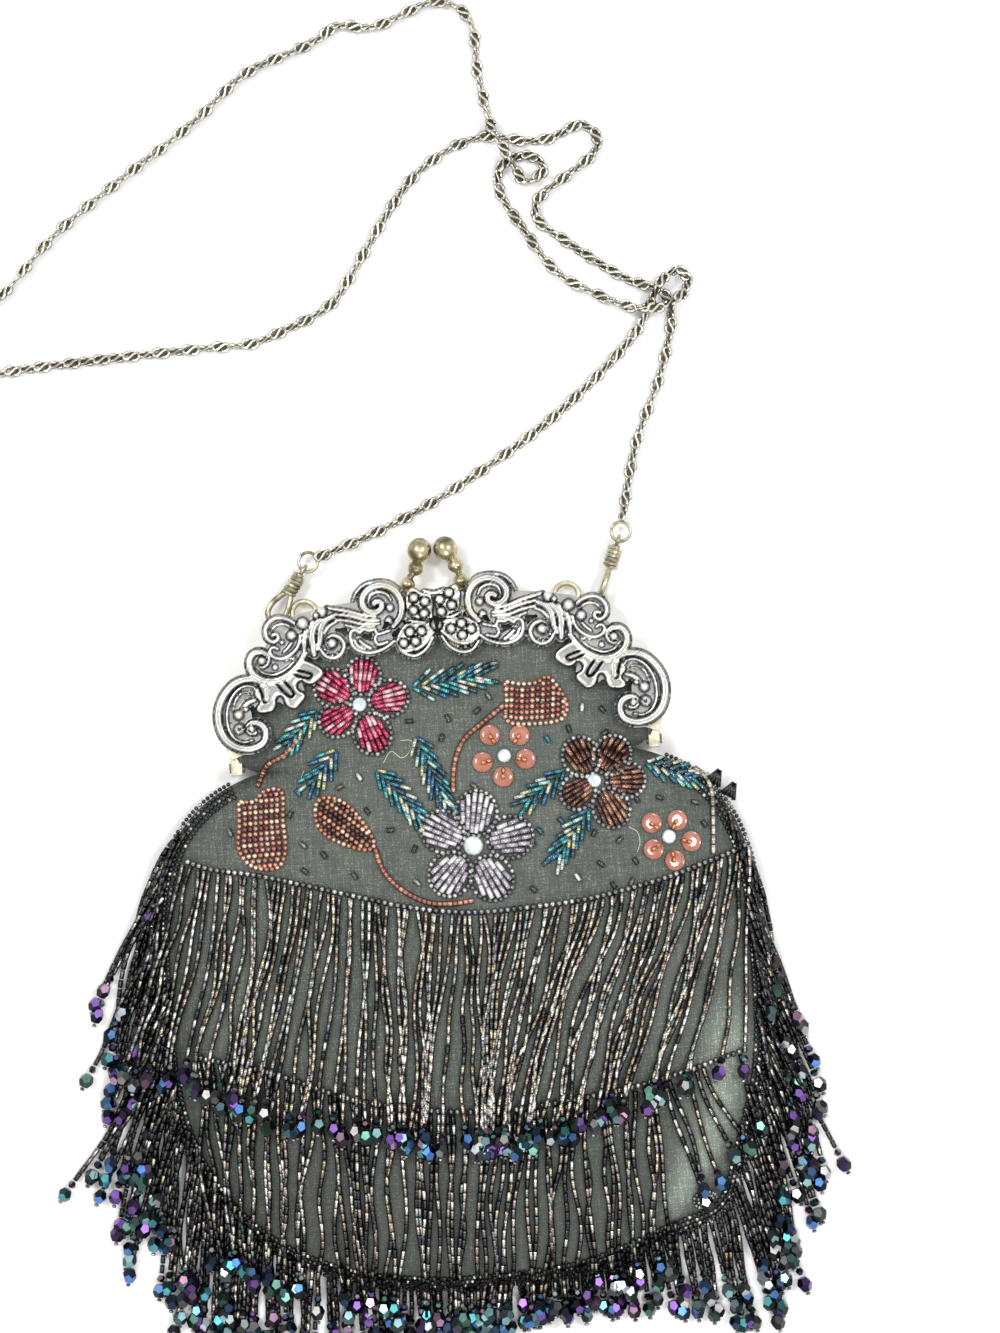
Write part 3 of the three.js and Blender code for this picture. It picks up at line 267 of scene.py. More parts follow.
# How closely the strands of the edge stand: share, strands in each hundredth
EDGE_DENSITY = [
    (0.06, 2.2), (0.11, 3.6), (0.3, 3.8), (0.38, 2.8), (0.6, 2.6), (0.66, 3.4), (0.84, 3.2), (0.9, 1.6),
]
# Beaded edging: rows of seeds as inset and lift, a coil at the foot, and picots of bugles at the shoulder
EDGING = ((-0.7, 0.1), (0.8, 0.8), (2.2, 0.9), (3.6, 0.9))
FOOT_COIL = {"middle": (68, -57.6), "beads": 60, "radius": 4.0, "shrink": 2.4, "squash": 0.75}
PICOTS = {
    "places": ((79.4, 66.4), (83.6, 62.2)), "tip": (2.4, 4.2), "lift": 0.9, "width": 1.4,
    "roots": ((-1.8, 1.2), (-0.6, 0.4), (0.6, -0.4), (1.6, -1.2)),
}

# Embroidered flowers: petals as x, y, half length, half width
FLOWERS = {
    "pink": {
        "heart": (-24.4, 97.5),
        "petals": [(-31.9, 103, 5.4, 4.8), (-23, 106, 4.9, 4.5), (-15.7, 98.8, 5.2, 4.6),
                   (-21.3, 88.6, 5.5, 4.8), (-31.3, 93.6, 5, 4.4)],
    },
    "lilac": {
        "heart": (6.3, 53.6),
        "petals": [(8, 63, 5.9, 5.3), (17.6, 55.2, 6, 5.3), (11.3, 43.6, 6, 5.4),
                   (-0.8, 45.6, 5.9, 5.4), (-2.2, 58.2, 5.9, 5.2)],
    },
    "brown": {
        "heart": (44.1, 69.9),
        "petals": [(40.4, 77.4, 5.3, 4.7), (49.6, 77.2, 5.3, 4.7), (53.2, 69.6, 5, 4.5),
                   (48.2, 61.6, 5.3, 4.6), (38.6, 67, 4.6, 4.3)],
    },
}
PETAL_COLUMNS = 6
SEQUIN_FLOWERS = [
    [(13.6, 85.6), (22.4, 85), (23.7, 77.7), (16.7, 73), (10.9, 77.7)],
    [(59.8, 56.2), (67.5, 56.4), (71.2, 49.8), (65.9, 44.6), (59.8, 48.4)],
]
SEQUIN_HEARTS = [(17.5, 79.3), (64.8, 51.8)]
# A sequin's cup as radius and height, its sheet and its lift off the silk; the coral beads that hold it
SEQUIN = {"cup": [(3.0, 0.0), (2.6, -0.32), (1.5, -0.42), (0.5, -0.42)], "sheet": 0.16, "lift": 0.9}
CORAL_BEADS = {"at": (0.3, 2.0), "lift": 1.3, "sink": 0.2, "size": (1.8, 1.35), "tint": (0.72, 0.26, 0.07)}
# A cut stone's rows of corners as shares of its radius, from below to the table, and its facets' tints
STONE_ROWS = ((0.0, -0.3), (1.0, -0.28), (1.0, -0.1), (0.86, 0.16), (0.56, 0.34), (0.0, 0.36))
STONE_TINTS = [(0.78, 0.8, 0.84), (0.6, 0.7, 0.78), (0.86, 0.8, 0.88), (0.7, 0.84, 0.8), (0.95, 0.95, 0.95)]
# Leaves of slanted bugles: stalk end, tip, length of a barb
LEAVES = [
    ((-9.5, 101.4), (11.6, 103.4), 6.4), ((-36.6, 97.2), (-46.6, 87.4), 4.8),
    ((-31.6, 85.4), (-40, 75.4), 5.2), ((-21.4, 78.6), (-8.6, 62.6), 5.0),
    ((-8.6, 87.6), (-0.8, 66.6), 5.0), ((36, 74.4), (23.2, 65.2), 5.0), ((58.6, 74.6), (74, 68.4), 4.6),
    ((42, 62.4), (31.2, 48.2), 5.2),
]
TULIP_RIGHT = [
    (19.2, 101.4), (24, 100.3), (29.4, 100.6), (31.6, 102.2), (34.2, 99.8), (37, 94.4), (37, 91),
    (35.4, 89), (27, 88.2), (19.4, 89.2), (18.6, 91), (19.4, 95),
]
TULIP_LEFT = [
    (-62.6, 71), (-57.4, 70.8), (-55.6, 73.2), (-49.8, 73.8), (-49.6, 64), (-49.4, 55.6), (-51.6, 51),
    (-56, 50.6), (-60.4, 52.2), (-63.4, 57), (-62.8, 64),
]
BUD = [
    (-39.6, 68), (-38.6, 70), (-36, 70.7), (-31.4, 69), (-26.6, 63.8), (-23, 57.2), (-22.8, 55),
    (-25.4, 54.4), (-30.6, 56), (-37, 59.6), (-39.6, 63.4),
]
# Stems of glass beads, a loose row of bugles at the right, strewn bugles as x, y, turn, and thread ends
STEMS = [
    [(18.4, 94.4), (14.6, 91.6), (11.4, 89.4), (5.9, 85), (3.2, 80), (2, 74.6), (1.7, 69.6)],
    [(-56.8, 75), (-53.5, 81.2), (-48, 84), (-43.6, 88.3)],
    [(-22.6, 54.6), (-21.6, 50.4), (-19.4, 46), (-15, 41.6), (-8.4, 37.9), (-1.8, 36.9), (5.4, 37.4)],
]
LOOSE_ROW = [(74, 71.8), (77.4, 68.6), (78.7, 65.4), (78.5, 55), (77.8, 45.6)]
# Length and width of the beads in these, and the step from one loose bugle to the next
STEM_BEAD, LOOSE_BUGLE, STRAY_BUGLE, LOOSE_STEP = (1.55, 1.75), (2.5, 1.7), (2.4, 1.5), 2.7
STRAYS = [
    (16.4, 107, 8), (41.7, 92, 80), (47.7, 91, -50), (10.3, 93.3, 35), (-10, 91.6, 0), (1.5, 91.6, -65),
    (-0.7, 86, 70), (37.3, 86, -75), (30.7, 83.4, -60), (-47.4, 66.3, 60), (-65.8, 62, -70), (-44, 57, -45),
    (-38, 53.7, -55), (-44, 49.3, -40), (-24.3, 65.8, -60), (-17.7, 59.7, 0), (-11, 53.7, 60),
    (-29.3, 47, -60), (-10.8, 43.8, -45), (26.5, 56.4, -50), (24, 53, -50), (43.9, 45.4, -40),
    (36.7, 42, -60), (47.2, 38.8, -60), (52.7, 39.4, 60), (54.3, 45.4, -60), (56, 63.6, -60),
    (63, 63.6, -20), (73.6, 61.4, -20), (75.8, 54.8, -60), (23.5, 39.4, -40), (-18, 72, 60), (-26, 76, -60),
    (30, 95, 60), (-44.6, 72.6, -50), (-6, 80, 70), (48, 84, 30), (8, 71, -40), (-32, 73.4, 20),
    (33, 59, -50), (50, 52, 40), (-52, 46.6, 80), (14, 97.4, -60), (42.6, 54.6, 60),
]
THREADS = [
    [(-18.6, 79.6), (-16, 83), (-13, 80.8), (-10.6, 82.4), (-9.6, 85.6), (-13, 86)],
    [(53, 55.6), (55.4, 54), (56, 50.6), (55, 48)],
    [(-44, 75.4), (-42.6, 78.8)],
]

# Finishes that bead pieces share: name, metallic, roughness, coat
FRINGE_FINISH = ("hematite_beads", 0.85, 0.24, 0.2)
LINED_FINISH = ("lined_glass_beads", 0.55, 0.2, 0.5)
# Tints of the beads
HEMATITE = [
    (0.7, 0.68, 0.59), (0.49, 0.46, 0.38), (0.65, 0.57, 0.41), (0.35, 0.34, 0.31), (0.37, 0.29, 0.2),
    (0.42, 0.33, 0.3), (0.23, 0.22, 0.24), (0.15, 0.145, 0.12), (0.92, 0.91, 0.87), (0.32, 0.37, 0.35),
]
JET = [(0.035, 0.037, 0.037), (0.06, 0.06, 0.058), (0.1, 0.095, 0.085), (0.05, 0.058, 0.065)]
SEED_TINTS = [(0.22, 0.22, 0.22), (0.3, 0.3, 0.29), (0.5, 0.5, 0.48), (0.12, 0.12, 0.12)]
EDGE_TINTS = [*JET, *JET, (0.3, 0.3, 0.29), (0.6, 0.59, 0.55)]
PEACOCK = [
    (0.16, 0.7, 0.78), (0.14, 0.38, 0.95), (0.5, 0.24, 0.95), (0.95, 0.56, 0.88), (0.34, 0.8, 0.62),
    (1.0, 1.0, 0.98), (0.13, 0.34, 0.72), (0.75, 0.84, 0.92), (0.5, 0.9, 0.96), (0.32, 0.15, 0.66),
]
RASPBERRY = [
    (0.46, 0.03, 0.1), (0.54, 0.07, 0.15), (0.66, 0.2, 0.28), (0.36, 0.018, 0.07), (0.8, 0.42, 0.48),
]
LAVENDER = [(0.42, 0.39, 0.43), (0.5, 0.47, 0.5), (0.33, 0.29, 0.35), (0.78, 0.76, 0.78)]
UMBER = [(0.11, 0.042, 0.027), (0.16, 0.06, 0.038), (0.07, 0.028, 0.02), (0.36, 0.19, 0.12)]
COPPER = [(0.6, 0.28, 0.17), (0.7, 0.42, 0.3), (0.48, 0.19, 0.11), (0.82, 0.6, 0.44)]
RUST = [(0.36, 0.15, 0.09), (0.27, 0.1, 0.07), (0.5, 0.25, 0.16)]
WINE = [(0.3, 0.07, 0.07), (0.4, 0.13, 0.12), (0.22, 0.045, 0.05), (0.55, 0.3, 0.26)]
TEAL = [
    (0.03, 0.2, 0.23), (0.02, 0.11, 0.15), (0.06, 0.34, 0.35), (0.36, 0.56, 0.5), (0.03, 0.14, 0.26),
    (0.42, 0.43, 0.24), (0.025, 0.07, 0.09), (0.02, 0.09, 0.11), (0.03, 0.11, 0.14), (0.5, 0.53, 0.47),
]


class HandbagPouch(bpy.types.PropertyGroup):
    """Shape and colours of the silk pouch."""

    crown: FloatProperty(
        name="Crown", description="Height of the front above the seam", default=0.017, unit="LENGTH"
    )
    fold_depth: FloatProperty(
        name="Fold depth", description="Depth of the soft folds in the silk", default=0.0006, unit="LENGTH"
    )
    light: FloatVectorProperty(
        name="Light threads", description="Colour of the silk's lit threads", default=(0.083, 0.097, 0.082),
        subtype="COLOR",
    )
    dark: FloatVectorProperty(
        name="Dark threads", description="Colour between the threads", default=(0.03, 0.036, 0.03),
        subtype="COLOR",
    )


class HandbagBeads(bpy.types.PropertyGroup):
    """Sizes and numbers of the beads."""

    upper_strands: IntProperty(
        name="Upper strands", description="Strands in the upper row", default=84, min=2, subtype="UNSIGNED"
    )
    lower_strands: IntProperty(
        name="Lower strands", description="Strands in the lower row", default=76, min=2, subtype="UNSIGNED"
    )
    edge_fullness: FloatProperty(
        name="Edge fullness", description="How closely strands stand round the seam", default=1.0, min=0.1,
        max=3.0, subtype="FACTOR",
    )
    bugle_length: FloatProperty(
        name="Bugle length", description="Length of a bugle", default=0.0028, unit="LENGTH"
    )
    bugle_width: FloatProperty(
        name="Bugle width", description="Width of a bugle", default=0.0015, unit="LENGTH"
    )
    seed_width: FloatProperty(
        name="Seed width", description="Width of a seed bead", default=0.0015, unit="LENGTH"
    )
    drop_width: FloatProperty(
        name="Drop width", description="Width of a cut drop", default=0.0043, unit="LENGTH"
    )
    shuffle: IntProperty(
        name="Shuffle", description="Start of the random spread of strands and tints", default=7, min=0,
        subtype="UNSIGNED",
    )


class HandbagMetal(bpy.types.PropertyGroup):
    """Sizes and colours of the frame, clasp and chain."""

    cell: FloatProperty(
        name="Relief cell", description="Grid of the cast relief", default=0.00036,
        unit="LENGTH", precision=5,
    )
    link_pitch: FloatProperty(
        name="Link pitch", description="Step from link to link", default=0.0045, unit="LENGTH", precision=4
    )
    link_wire: FloatProperty(
        name="Link wire", description="Radius of a link's wire", default=0.00052, unit="LENGTH", precision=5
    )
    silver: FloatVectorProperty(
        name="Silver", description="Colour of the polished casting", default=(0.95, 0.93, 0.87),
        subtype="COLOR",
    )
    brass: FloatVectorProperty(
        name="Brass", description="Colour of the clasp", default=(0.62, 0.55, 0.36), subtype="COLOR"
    )
    chain: FloatVectorProperty(
        name="Chain", description="Colour of the chain's polished faces", default=(0.86, 0.82, 0.68),
        subtype="COLOR",
    )


class HandbagStage(bpy.types.PropertyGroup):
    """Floor, lights and camera."""

    floor: FloatVectorProperty(
        name="Floor", description="Colour of the floor", default=(0.93, 0.93, 0.925), subtype="COLOR"
    )
    lamp_power: FloatProperty(
        name="Lamp power", description="Power of the main lamp", default=7.0, unit="POWER"
    )
    lens: FloatProperty(
        name="Lens", description="Focal length of the camera", default=90.0, subtype="DISTANCE_CAMERA"
    )


class Value:
    """A node's output that takes part in Python expressions."""

    def __init__(self, finish, socket):
        self.finish = finish
        self.socket = socket

    def maths(self, operation, *values):
        return self.finish.node("Math", {"operation": operation}, dict(enumerate(values)))

    def __add__(self, other):
        return self.maths("ADD", self, other)

    def __sub__(self, other):
        return self.maths("SUBTRACT", self, other)

    def __rsub__(self, other):
        return self.maths("SUBTRACT", other, self)

    def __mul__(self, other):
        return self.maths("MULTIPLY", self, other)

    __radd__ = __add__
    __rmul__ = __mul__


class Finish:
    """A material under construction."""

    def __init__(self, name):
        self.material = bpy.data.materials.new(name)
        self.material.use_nodes = True
        self.tree = self.material.node_tree
        self.tree.nodes.clear()

    def node(self, kind, settings=None, sockets=None, output=0):
        """Adds a node: settings come first, then the values or links of its sockets; returns one output."""
        made = self.tree.nodes.new("ShaderNode" + kind)
        for name, value in (settings or {}).items():
            if name == "stops":
                self.set_stops(made.color_ramp, value)
            else:
                setattr(made, name, value)
        for key, value in (sockets or {}).items():
            if isinstance(value, Value):
                self.tree.links.new(value.socket, made.inputs[key])
            else:
                made.inputs[key].default_value = value
        return Value(self, made.outputs[output]) if made.outputs else None

    @staticmethod
    def set_stops(ramp, stops):
        while len(ramp.elements) < len(stops):
            ramp.elements.new(1.0)
        for element, (place, colour) in zip(ramp.elements, stops):
            element.position = place
            element.color = (*colour, 1.0)

    def place(self, scale=(1.0, 1.0, 1.0)):
        spot = self.node("TexCoord", output="Object")
        return self.node("Mapping", {}, {"Vector": spot, "Scale": scale})

    def noise(self, place, scale, detail=2.0, rough=0.5):
        sockets = {"Vector": place, "Scale": scale, "Detail": detail, "Roughness": rough}
        return self.node("TexNoise", {}, sockets)

    def blend(self, share, low, high):
        """A colour between two others."""
        settings = {"data_type": "RGBA"}
        return self.node("Mix", settings, {0: share, 6: self.colour(low), 7: self.colour(high)}, output=2)

    @staticmethod
    def colour(value):
        return value if isinstance(value, Value) else (*value, 1.0)

    def ramp(self, share, stops):
        return self.node("ValToRGB", {"stops": stops}, {"Fac": share})

    def bump(self, height, strength, distance):
        return self.node("Bump", {}, {"Height": height, "Strength": strength, "Distance": distance})

    def close(self, sockets):
        """Ends the material in one surface shader."""
        shader = self.node("BsdfPrincipled", {}, sockets)
        self.node("OutputMaterial", {}, {"Surface": shader})
        return self.material


def silk_finish(settings):
    """Slubby silk: uneven threads both ways, cloudy tone, lighter slubs that also serve as painted sparkle,
    a soft sheen, and painted shade and sheen from the shade attribute.
    """
    made = Finish("grey_green_silk")
    warp = made.noise(made.place((2900, 150, 300)), 1.0, 3.0, 0.6)
    weft = made.noise(made.place((150, 2900, 300)), 1.0, 3.0, 0.6)
    grain = made.noise(made.place(), 2600.0, 1.0)
    cloud = made.noise(made.place((1, 0.5, 1)), 38.0, 3.0)
    # The shade attribute holds painted shade and painted sheen; it scales the base colour
    shade = made.node("Attribute", {"attribute_name": "shade"}, output="Fac")
    threads = warp * 0.4 + weft * 0.3 + grain * 0.3
    share = made.node("MapRange", {}, {"Value": threads + cloud * 0.7, 1: 0.6, 2: 1.05})
    # Lighter slub threads, which also stand in for a painted sparkle of the silk
    slub_sparkle = made.node("MapRange", {}, {"Value": warp * 0.35 + weft * 0.3 + grain * 0.5, 1: 0.61, 2: 0.73})
    base = made.blend(slub_sparkle * 0.4, made.blend(share, settings.dark, settings.light), (0.4, 0.43, 0.33))
    return made.close({
        "Base Color": made.node("VectorMath", {"operation": "SCALE"}, {0: base, "Scale": shade}),
        "Roughness": 0.72 - threads * 0.24,
        "Normal": made.bump(threads, 0.55, 0.0005),
        "Sheen Weight": 0.35,
        "Sheen Roughness": 0.35,
        "Sheen Tint": (0.72, 0.76, 0.6, 1.0),
    })


def cast_finish(settings):
    """Antiqued casting from the relief attribute: bright on the crests, partly polish and partly painted
    highlight; painted shade where crests and domes fall away; patina dark in the recesses; a little warm
    wear.
    """
    made = Finish("antique_silver")
    # The relief attribute is tone: patina in the recesses, painted highlights and painted shade on the
    # relief's shapes
    relief = made.node("Attribute", {"attribute_name": "relief"}, output="Fac")
    speck = made.noise(made.place(), 900.0, 3.0)
    tarnish = made.noise(made.place(), 170.0, 2.0)
    height = relief + speck * 0.16 + tarnish * 0.3 - 0.23
    bright = tuple(settings.silver)
    base = made.ramp(height, [
        (0.0, (0.016, 0.016, 0.015)), (0.2, (0.06, 0.06, 0.06)), (0.42, (0.2, 0.205, 0.215)),
        (0.66, (0.36, 0.36, 0.345)), (0.95, bright),
    ])
    warm = made.noise(made.place(), 120.0, 2.0)
    wear = made.node("MapRange", {}, {"Value": warm, 1: 0.52, 2: 0.72})
    warmed = made.blend(wear * 0.45, base, made.blend(relief, (0.03, 0.028, 0.02), (0.86, 0.8, 0.6)))
    return made.close({
        "Base Color": warmed,
        "Metallic": 1.0,
        "Roughness": 0.46 - relief * 0.2 + speck * 0.08,
        "Normal": made.bump(speck, 0.12, 0.0002),
    })


def metal_finish(name, bright, dark, rough):
    """Plain antiqued metal with cloudy patina and fine scratches."""
    made = Finish(name)
    cloud = made.noise(made.place(), 260.0, 4.0, 0.65)
    line = made.noise(made.place((300, 2400, 700)), 1.0, 2.0)
    share = made.node("MapRange", {}, {"Value": cloud, 1: 0.36, 2: 0.6})
    return made.close({
        "Base Color": made.blend(share, dark, bright),
        "Metallic": 1.0,
        "Roughness": rough + 0.22 * (1 - share) + line * 0.06,
        "Normal": made.bump(line, 0.08, 0.0002),
    })


def bead_finish(name, metallic, rough, coat):
    """Glass or metal-lined beads, made once; each bead's tint comes with its mesh, with painted shade on
    its flanks and a painted highlight or glint on its top.
    """
    if name in bpy.data.materials:
        return bpy.data.materials[name]
    made = Finish(name)
    tint = made.node("Attribute", {"attribute_name": "tint"}, output="Color")
    swirl = made.noise(made.place(), 420.0, 1.0)
    shade = made.node("MapRange", {}, {"Value": swirl, 1: 0.3, 2: 0.6, 3: 0.8, 4: 1.0})
    return made.close({
        "Base Color": made.node("VectorMath", {"operation": "SCALE"}, {0: tint, "Scale": shade}),
        "Metallic": metallic,
        "Roughness": rough + swirl * 0.1,
        "Coat Weight": coat,
        "Coat Roughness": 0.06,
    })


def sequin_finish():
    """Coral sequins: milky plastic that lets a little light through."""
    made = Finish("coral_sequin")
    cloud = made.noise(made.place(), 500.0, 2.0)
    return made.close({
        "Base Color": made.blend(cloud, (0.34, 0.09, 0.055), (0.58, 0.24, 0.17)),
        "Roughness": 0.14 + cloud * 0.12,
        "Alpha": 0.82,
        "Coat Weight": 1.0,
        "Coat Roughness": 0.05,
    })


def thread_finish():
    """Loose ends of cream cotton."""
    made = Finish("cream_thread")
    twist = made.noise(made.place(), 3000.0, 2.0)
    return made.close({
        "Base Color": made.blend(twist, (0.42, 0.39, 0.28), (0.7, 0.67, 0.54)),
        "Roughness": 0.8,
        "Normal": made.bump(twist, 0.4, 0.0002),
    })


def floor_finish(colour):
    """Plain pale floor with the faintest unevenness."""
    made = Finish("pale_floor")
    cloud = made.noise(made.place(), 9.0, 2.0)
    shade = tuple(0.97 * c for c in colour)
    return made.close({"Base Color": made.blend(cloud, shade, colour), "Roughness": 0.6 + cloud * 0.1})


def smoothstep(value, low, high):
    share = np.clip((value - low) / (high - low), 0.0, 1.0)
    return share * share * (3 - 2 * share)


def bell(value, middle, reach):
    """One at the middle, falling off smoothly to both sides."""
    return np.exp(-(((value - middle) / reach) ** 2))


def even_steps(points, step=None, count=None):
    """Points at even steps along a line of points."""
    points = np.asarray(points, float)
    run = np.concatenate([[0.0], np.cumsum(np.linalg.norm(np.diff(points, axis=0), axis=1))])
    count = count or max(2, int(round(run[-1] / step)) + 1)
    at = np.linspace(0.0, run[-1], count)
    return np.column_stack([np.interp(at, run, column) for column in points.T])


def smooth_line(points, step=None, count=None):
    """Points at even steps along a smooth curve through the given ones."""
    p = np.asarray(points, float)
    p = np.vstack([2 * p[0] - p[1], p, 2 * p[-1] - p[-2]])
    t = np.linspace(0.0, 1.0, 12, endpoint=False)[:, None]
    dense = []
    for a, b, c, d in zip(p, p[1:], p[2:], p[3:]):
        ab, bc, cd = (max(1e-4, np.linalg.norm(v) ** 0.5) for v in (b - a, c - b, d - c))
        leave = ((b - a) / ab - (c - a) / (ab + bc) + (c - b) / bc) * bc
        enter = ((c - b) / bc - (d - b) / (bc + cd) + (d - c) / cd) * bc
        dense.append(
            (2 * t**3 - 3 * t**2 + 1) * b + (t**3 - 2 * t**2 + t) * leave
            + (3 * t**2 - 2 * t**3) * c + (t**3 - t**2) * enter
        )
    return even_steps(np.vstack([*dense, p[-2:-1]]), step, count)


def superellipse(share, power):
    return np.maximum(0.0, 1.0 - np.abs(share) ** power) ** (1.0 / power)


def half_width(y):
    """Half the width of the pouch at a height in plan."""
    y = np.asarray(y, float)
    below = superellipse(np.minimum(1.0, (WAIST_Y - y) / FOOT["reach"]), FOOT["power"])
    above = superellipse(np.minimum(1.0, (y - WAIST_Y) / SHOULDER["reach"]), SHOULDER["power"])
    return HALF_WIDTH * np.where(y < WAIST_Y, below, above)


ARCH_LINE = smooth_line([(-x, y) for x, y in ARCH[:0:-1]] + ARCH, count=601)
ARCH_SHARES = np.linspace(0.0, 1.0, len(ARCH_LINE))
ARCH_ALONG = np.gradient(ARCH_LINE, axis=0)
ARCH_ALONG /= np.linalg.norm(ARCH_ALONG, axis=1)[:, None]


def arch_at(share, inward=0.0):
    """A point on the frame's outer edge, or inside it; share runs from the left foot to the right one."""
    point = np.array([np.interp(share, ARCH_SHARES, column) for column in ARCH_LINE.T])
    along = np.array([np.interp(share, ARCH_SHARES, column) for column in ARCH_ALONG.T])
    return point + inward * np.array([along[1], -along[0]])


def seam_point(turn):
    """A point of the seam in plan; turn is measured from the foot, positive to the left."""
    side, down = math.sin(turn), math.cos(turn)
    form = FOOT if down >= 0 else SHOULDER
    x = -math.copysign(HALF_WIDTH * abs(side) ** (2 / form["power"]), side)
    return x, WAIST_Y - math.copysign(form["reach"] * abs(down) ** (2 / form["power"]), down)


def corner(x, y):
    """Pulls the pouch out to the squarer corner at its lower right."""
    (at_x, at_y), (wide, tall), (out_x, out_y) = CORNER.values()
    pull = np.exp(-(((x - at_x) / wide) ** 2) - ((y - at_y) / tall) ** 2)
    return x + out_x * pull, y + out_y * pull


SHOULDER_TURN = math.asin(((HINGE_Y - WAIST_Y) / SHOULDER["reach"]) ** (SHOULDER["power"] / 2))
SEAM_TURNS = np.linspace(1, -1, 241) * (math.pi / 2 + SHOULDER_TURN)
SEAM_LINE = even_steps([corner(*seam_point(turn)) for turn in SEAM_TURNS], count=961)


def seam_at(share):
    """Point of the seam and the outward direction there; share runs from left hinge to right."""
    place = share * (len(SEAM_LINE) - 1)
    low = int(min(max(place, 1), len(SEAM_LINE) - 2))
    along = SEAM_LINE[low + 1] - SEAM_LINE[low - 1]
    along = along / np.linalg.norm(along)
    return SEAM_LINE[low], np.array([along[1], -along[0]])


def finish_mesh(name, bm, material, replaces=(), sharp=48, outward=True):
    """Turns a bmesh in millimetres into a piece, smooth up to the sharp angle, or flat without one."""
    if outward:
        bmesh.ops.recalc_face_normals(bm, faces=bm.faces)
    bmesh.ops.scale(bm, vec=(MM, MM, MM), verts=bm.verts)
    mesh = bpy.data.meshes.new(name)
    bm.to_mesh(mesh)
    bm.free()
    if sharp:
        mesh.shade_smooth()
        mesh.set_sharp_from_angle(angle=math.radians(sharp))
    return finish_piece(mesh, material, replaces)


def finish_piece(mesh, material, replaces=()):
    """A piece of a mesh in metres, which rides on the bag and may replace some of its solids."""
    mesh.materials.append(material)
    piece = bpy.data.objects.new(mesh.name, mesh)
    bpy.context.scene.collection.objects.link(piece)
    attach(piece, "root")
    if replaces:
        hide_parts(*replaces)
    return piece


def sweep(bm, stations, section, closed=False):
    """Carries a closed section from station to station by extruding its edges; ends are filled."""
    ring = [bm.verts.new(stations[0] @ Vector((x, y, 0))) for x, y in section]
    edges = [bm.edges.new(pair) for pair in zip(ring, ring[1:] + ring[:1])]
    first = list(edges)
    for station in stations[1:]:
        grown = bmesh.ops.extrude_edge_only(bm, edges=edges)["geom"]
        fresh = {e for e in grown if isinstance(e, bmesh.types.BMVert)}
        ring = [next(e.other_vert(v) for e in v.link_edges if e.other_vert(v) in fresh) for v in ring]
        for vert, (x, y) in zip(ring, section):
            vert.co = station @ Vector((x, y, 0))
        edges = [bm.edges.get(pair) for pair in zip(ring, ring[1:] + ring[:1])]
    if closed:
        bmesh.ops.bridge_loops(bm, edges=first + edges)
    else:
        bmesh.ops.contextual_create(bm, geom=first)
        bmesh.ops.contextual_create(bm, geom=edges)


def stations_along(path, closed=False):
    """Frames along a path whose third axis points ahead."""
    path = [Vector(p) for p in path]
    made, side = [], Vector((0, 0, 1))
    for i, point in enumerate(path):
        if closed:
            ahead = path[(i + 1) % len(path)] - path[i - 1]
        else:
            ahead = path[min(i + 1, len(path) - 1)] - path[max(i - 1, 0)]
        ahead.normalize()
        side = side - ahead * side.dot(ahead)
        if side.length < 1e-4:
            side = ahead.orthogonal()
        side.normalize()
        turn = Matrix((ahead.cross(side) * -1, side, ahead)).transposed().to_4x4()
        made.append(Matrix.Translation(point) @ turn)
    return made


def circle(radius, sides):
    angles = np.linspace(0, 2 * math.pi, sides, endpoint=False)
    return [(radius * math.cos(a), radius * math.sin(a)) for a in angles]


def wire(bm, path, radius, sides=8, closed=False):
    """Round wire along a path."""
    sweep(bm, stations_along(path, closed=closed), circle(radius, sides), closed)


def ring_path(centre, axis, radius, count=28, start=0.0, turn=360.0):
    """Points round a circle about an axis."""
    axis = Vector(axis).normalized()
    side = axis.orthogonal().normalized() if abs(axis.z) < 0.9 else Vector((1, 0, 0))
    other = axis.cross(side)
    points = count if turn == 360.0 else count + 1
    angles = [math.radians(start + turn * i / count) for i in range(points)]
    return [Vector(centre) + radius * (math.cos(a) * side + math.sin(a) * other) for a in angles]


def tilt(axis):
    """The turn that brings the upright onto an axis."""
    return Vector((0, 0, 1)).rotation_difference(Vector(axis)).to_matrix().to_4x4()


def turned(bm, profile, base, axis, segments=24):
    """A turned shape: a profile of (radius, height) spun about an axis from its base."""
    place = Matrix.Translation(base) @ tilt(axis)
    verts = [bm.verts.new(place @ Vector((max(r, 1e-3), 0, h))) for r, h in profile]
    edges = [bm.edges.new(pair) for pair in zip(verts, verts[1:])]
    bmesh.ops.spin(
        bm, geom=verts + edges, cent=Vector(base), axis=Vector(axis).normalized(), angle=2 * math.pi,
        steps=segments, use_merge=True,
    )


def close_up(bm):
    """Welds what a spin or sweep left double."""
    bmesh.ops.remove_doubles(bm, verts=bm.verts, dist=2e-3)


class Cloth:
    """Finds the silk's surface under a place in plan."""

    tree = None

    @classmethod
    def at(cls, x, y):
        """Height in millimetres and the surface's normal, or None past the edge."""
        if cls.tree is None:
            silk = bpy.data.objects["silk_pouch"].data
            corners, faces = [v.co for v in silk.vertices], [p.vertices for p in silk.polygons]
            cls.tree = BVHTree.FromPolygons(corners, faces)
        above = Vector((x * MM, y * MM, 0.06))
        spot, normal, _, _ = cls.tree.ray_cast(above, Vector((0, 0, -1)))
        return None if spot is None or normal.z < 0 else (spot.z / MM, normal)


def drape(x, y):
    """Height of what a strand lies on: the silk, or the fringe past its edge."""
    found = Cloth.at(x, y)
    foot = WAIST_Y - FOOT["reach"]
    edge = float(half_width(max(y, foot + 0.01)))
    if found and y > foot + 1 and abs(x) < edge - 1:
        return max(found[0], SEAM_Z + 2.0) + 0.35
    past = max(foot + 1 - y, abs(x) - edge + 1)
    return max(SEAM_Z + 2.4 - 0.3 * max(0.0, past - 4), 4.2)


BEAD_SHAPES = {}
# Turn of an eight-sided bugle about its length that lays a flat side up
FLAT_UP = math.pi / 8
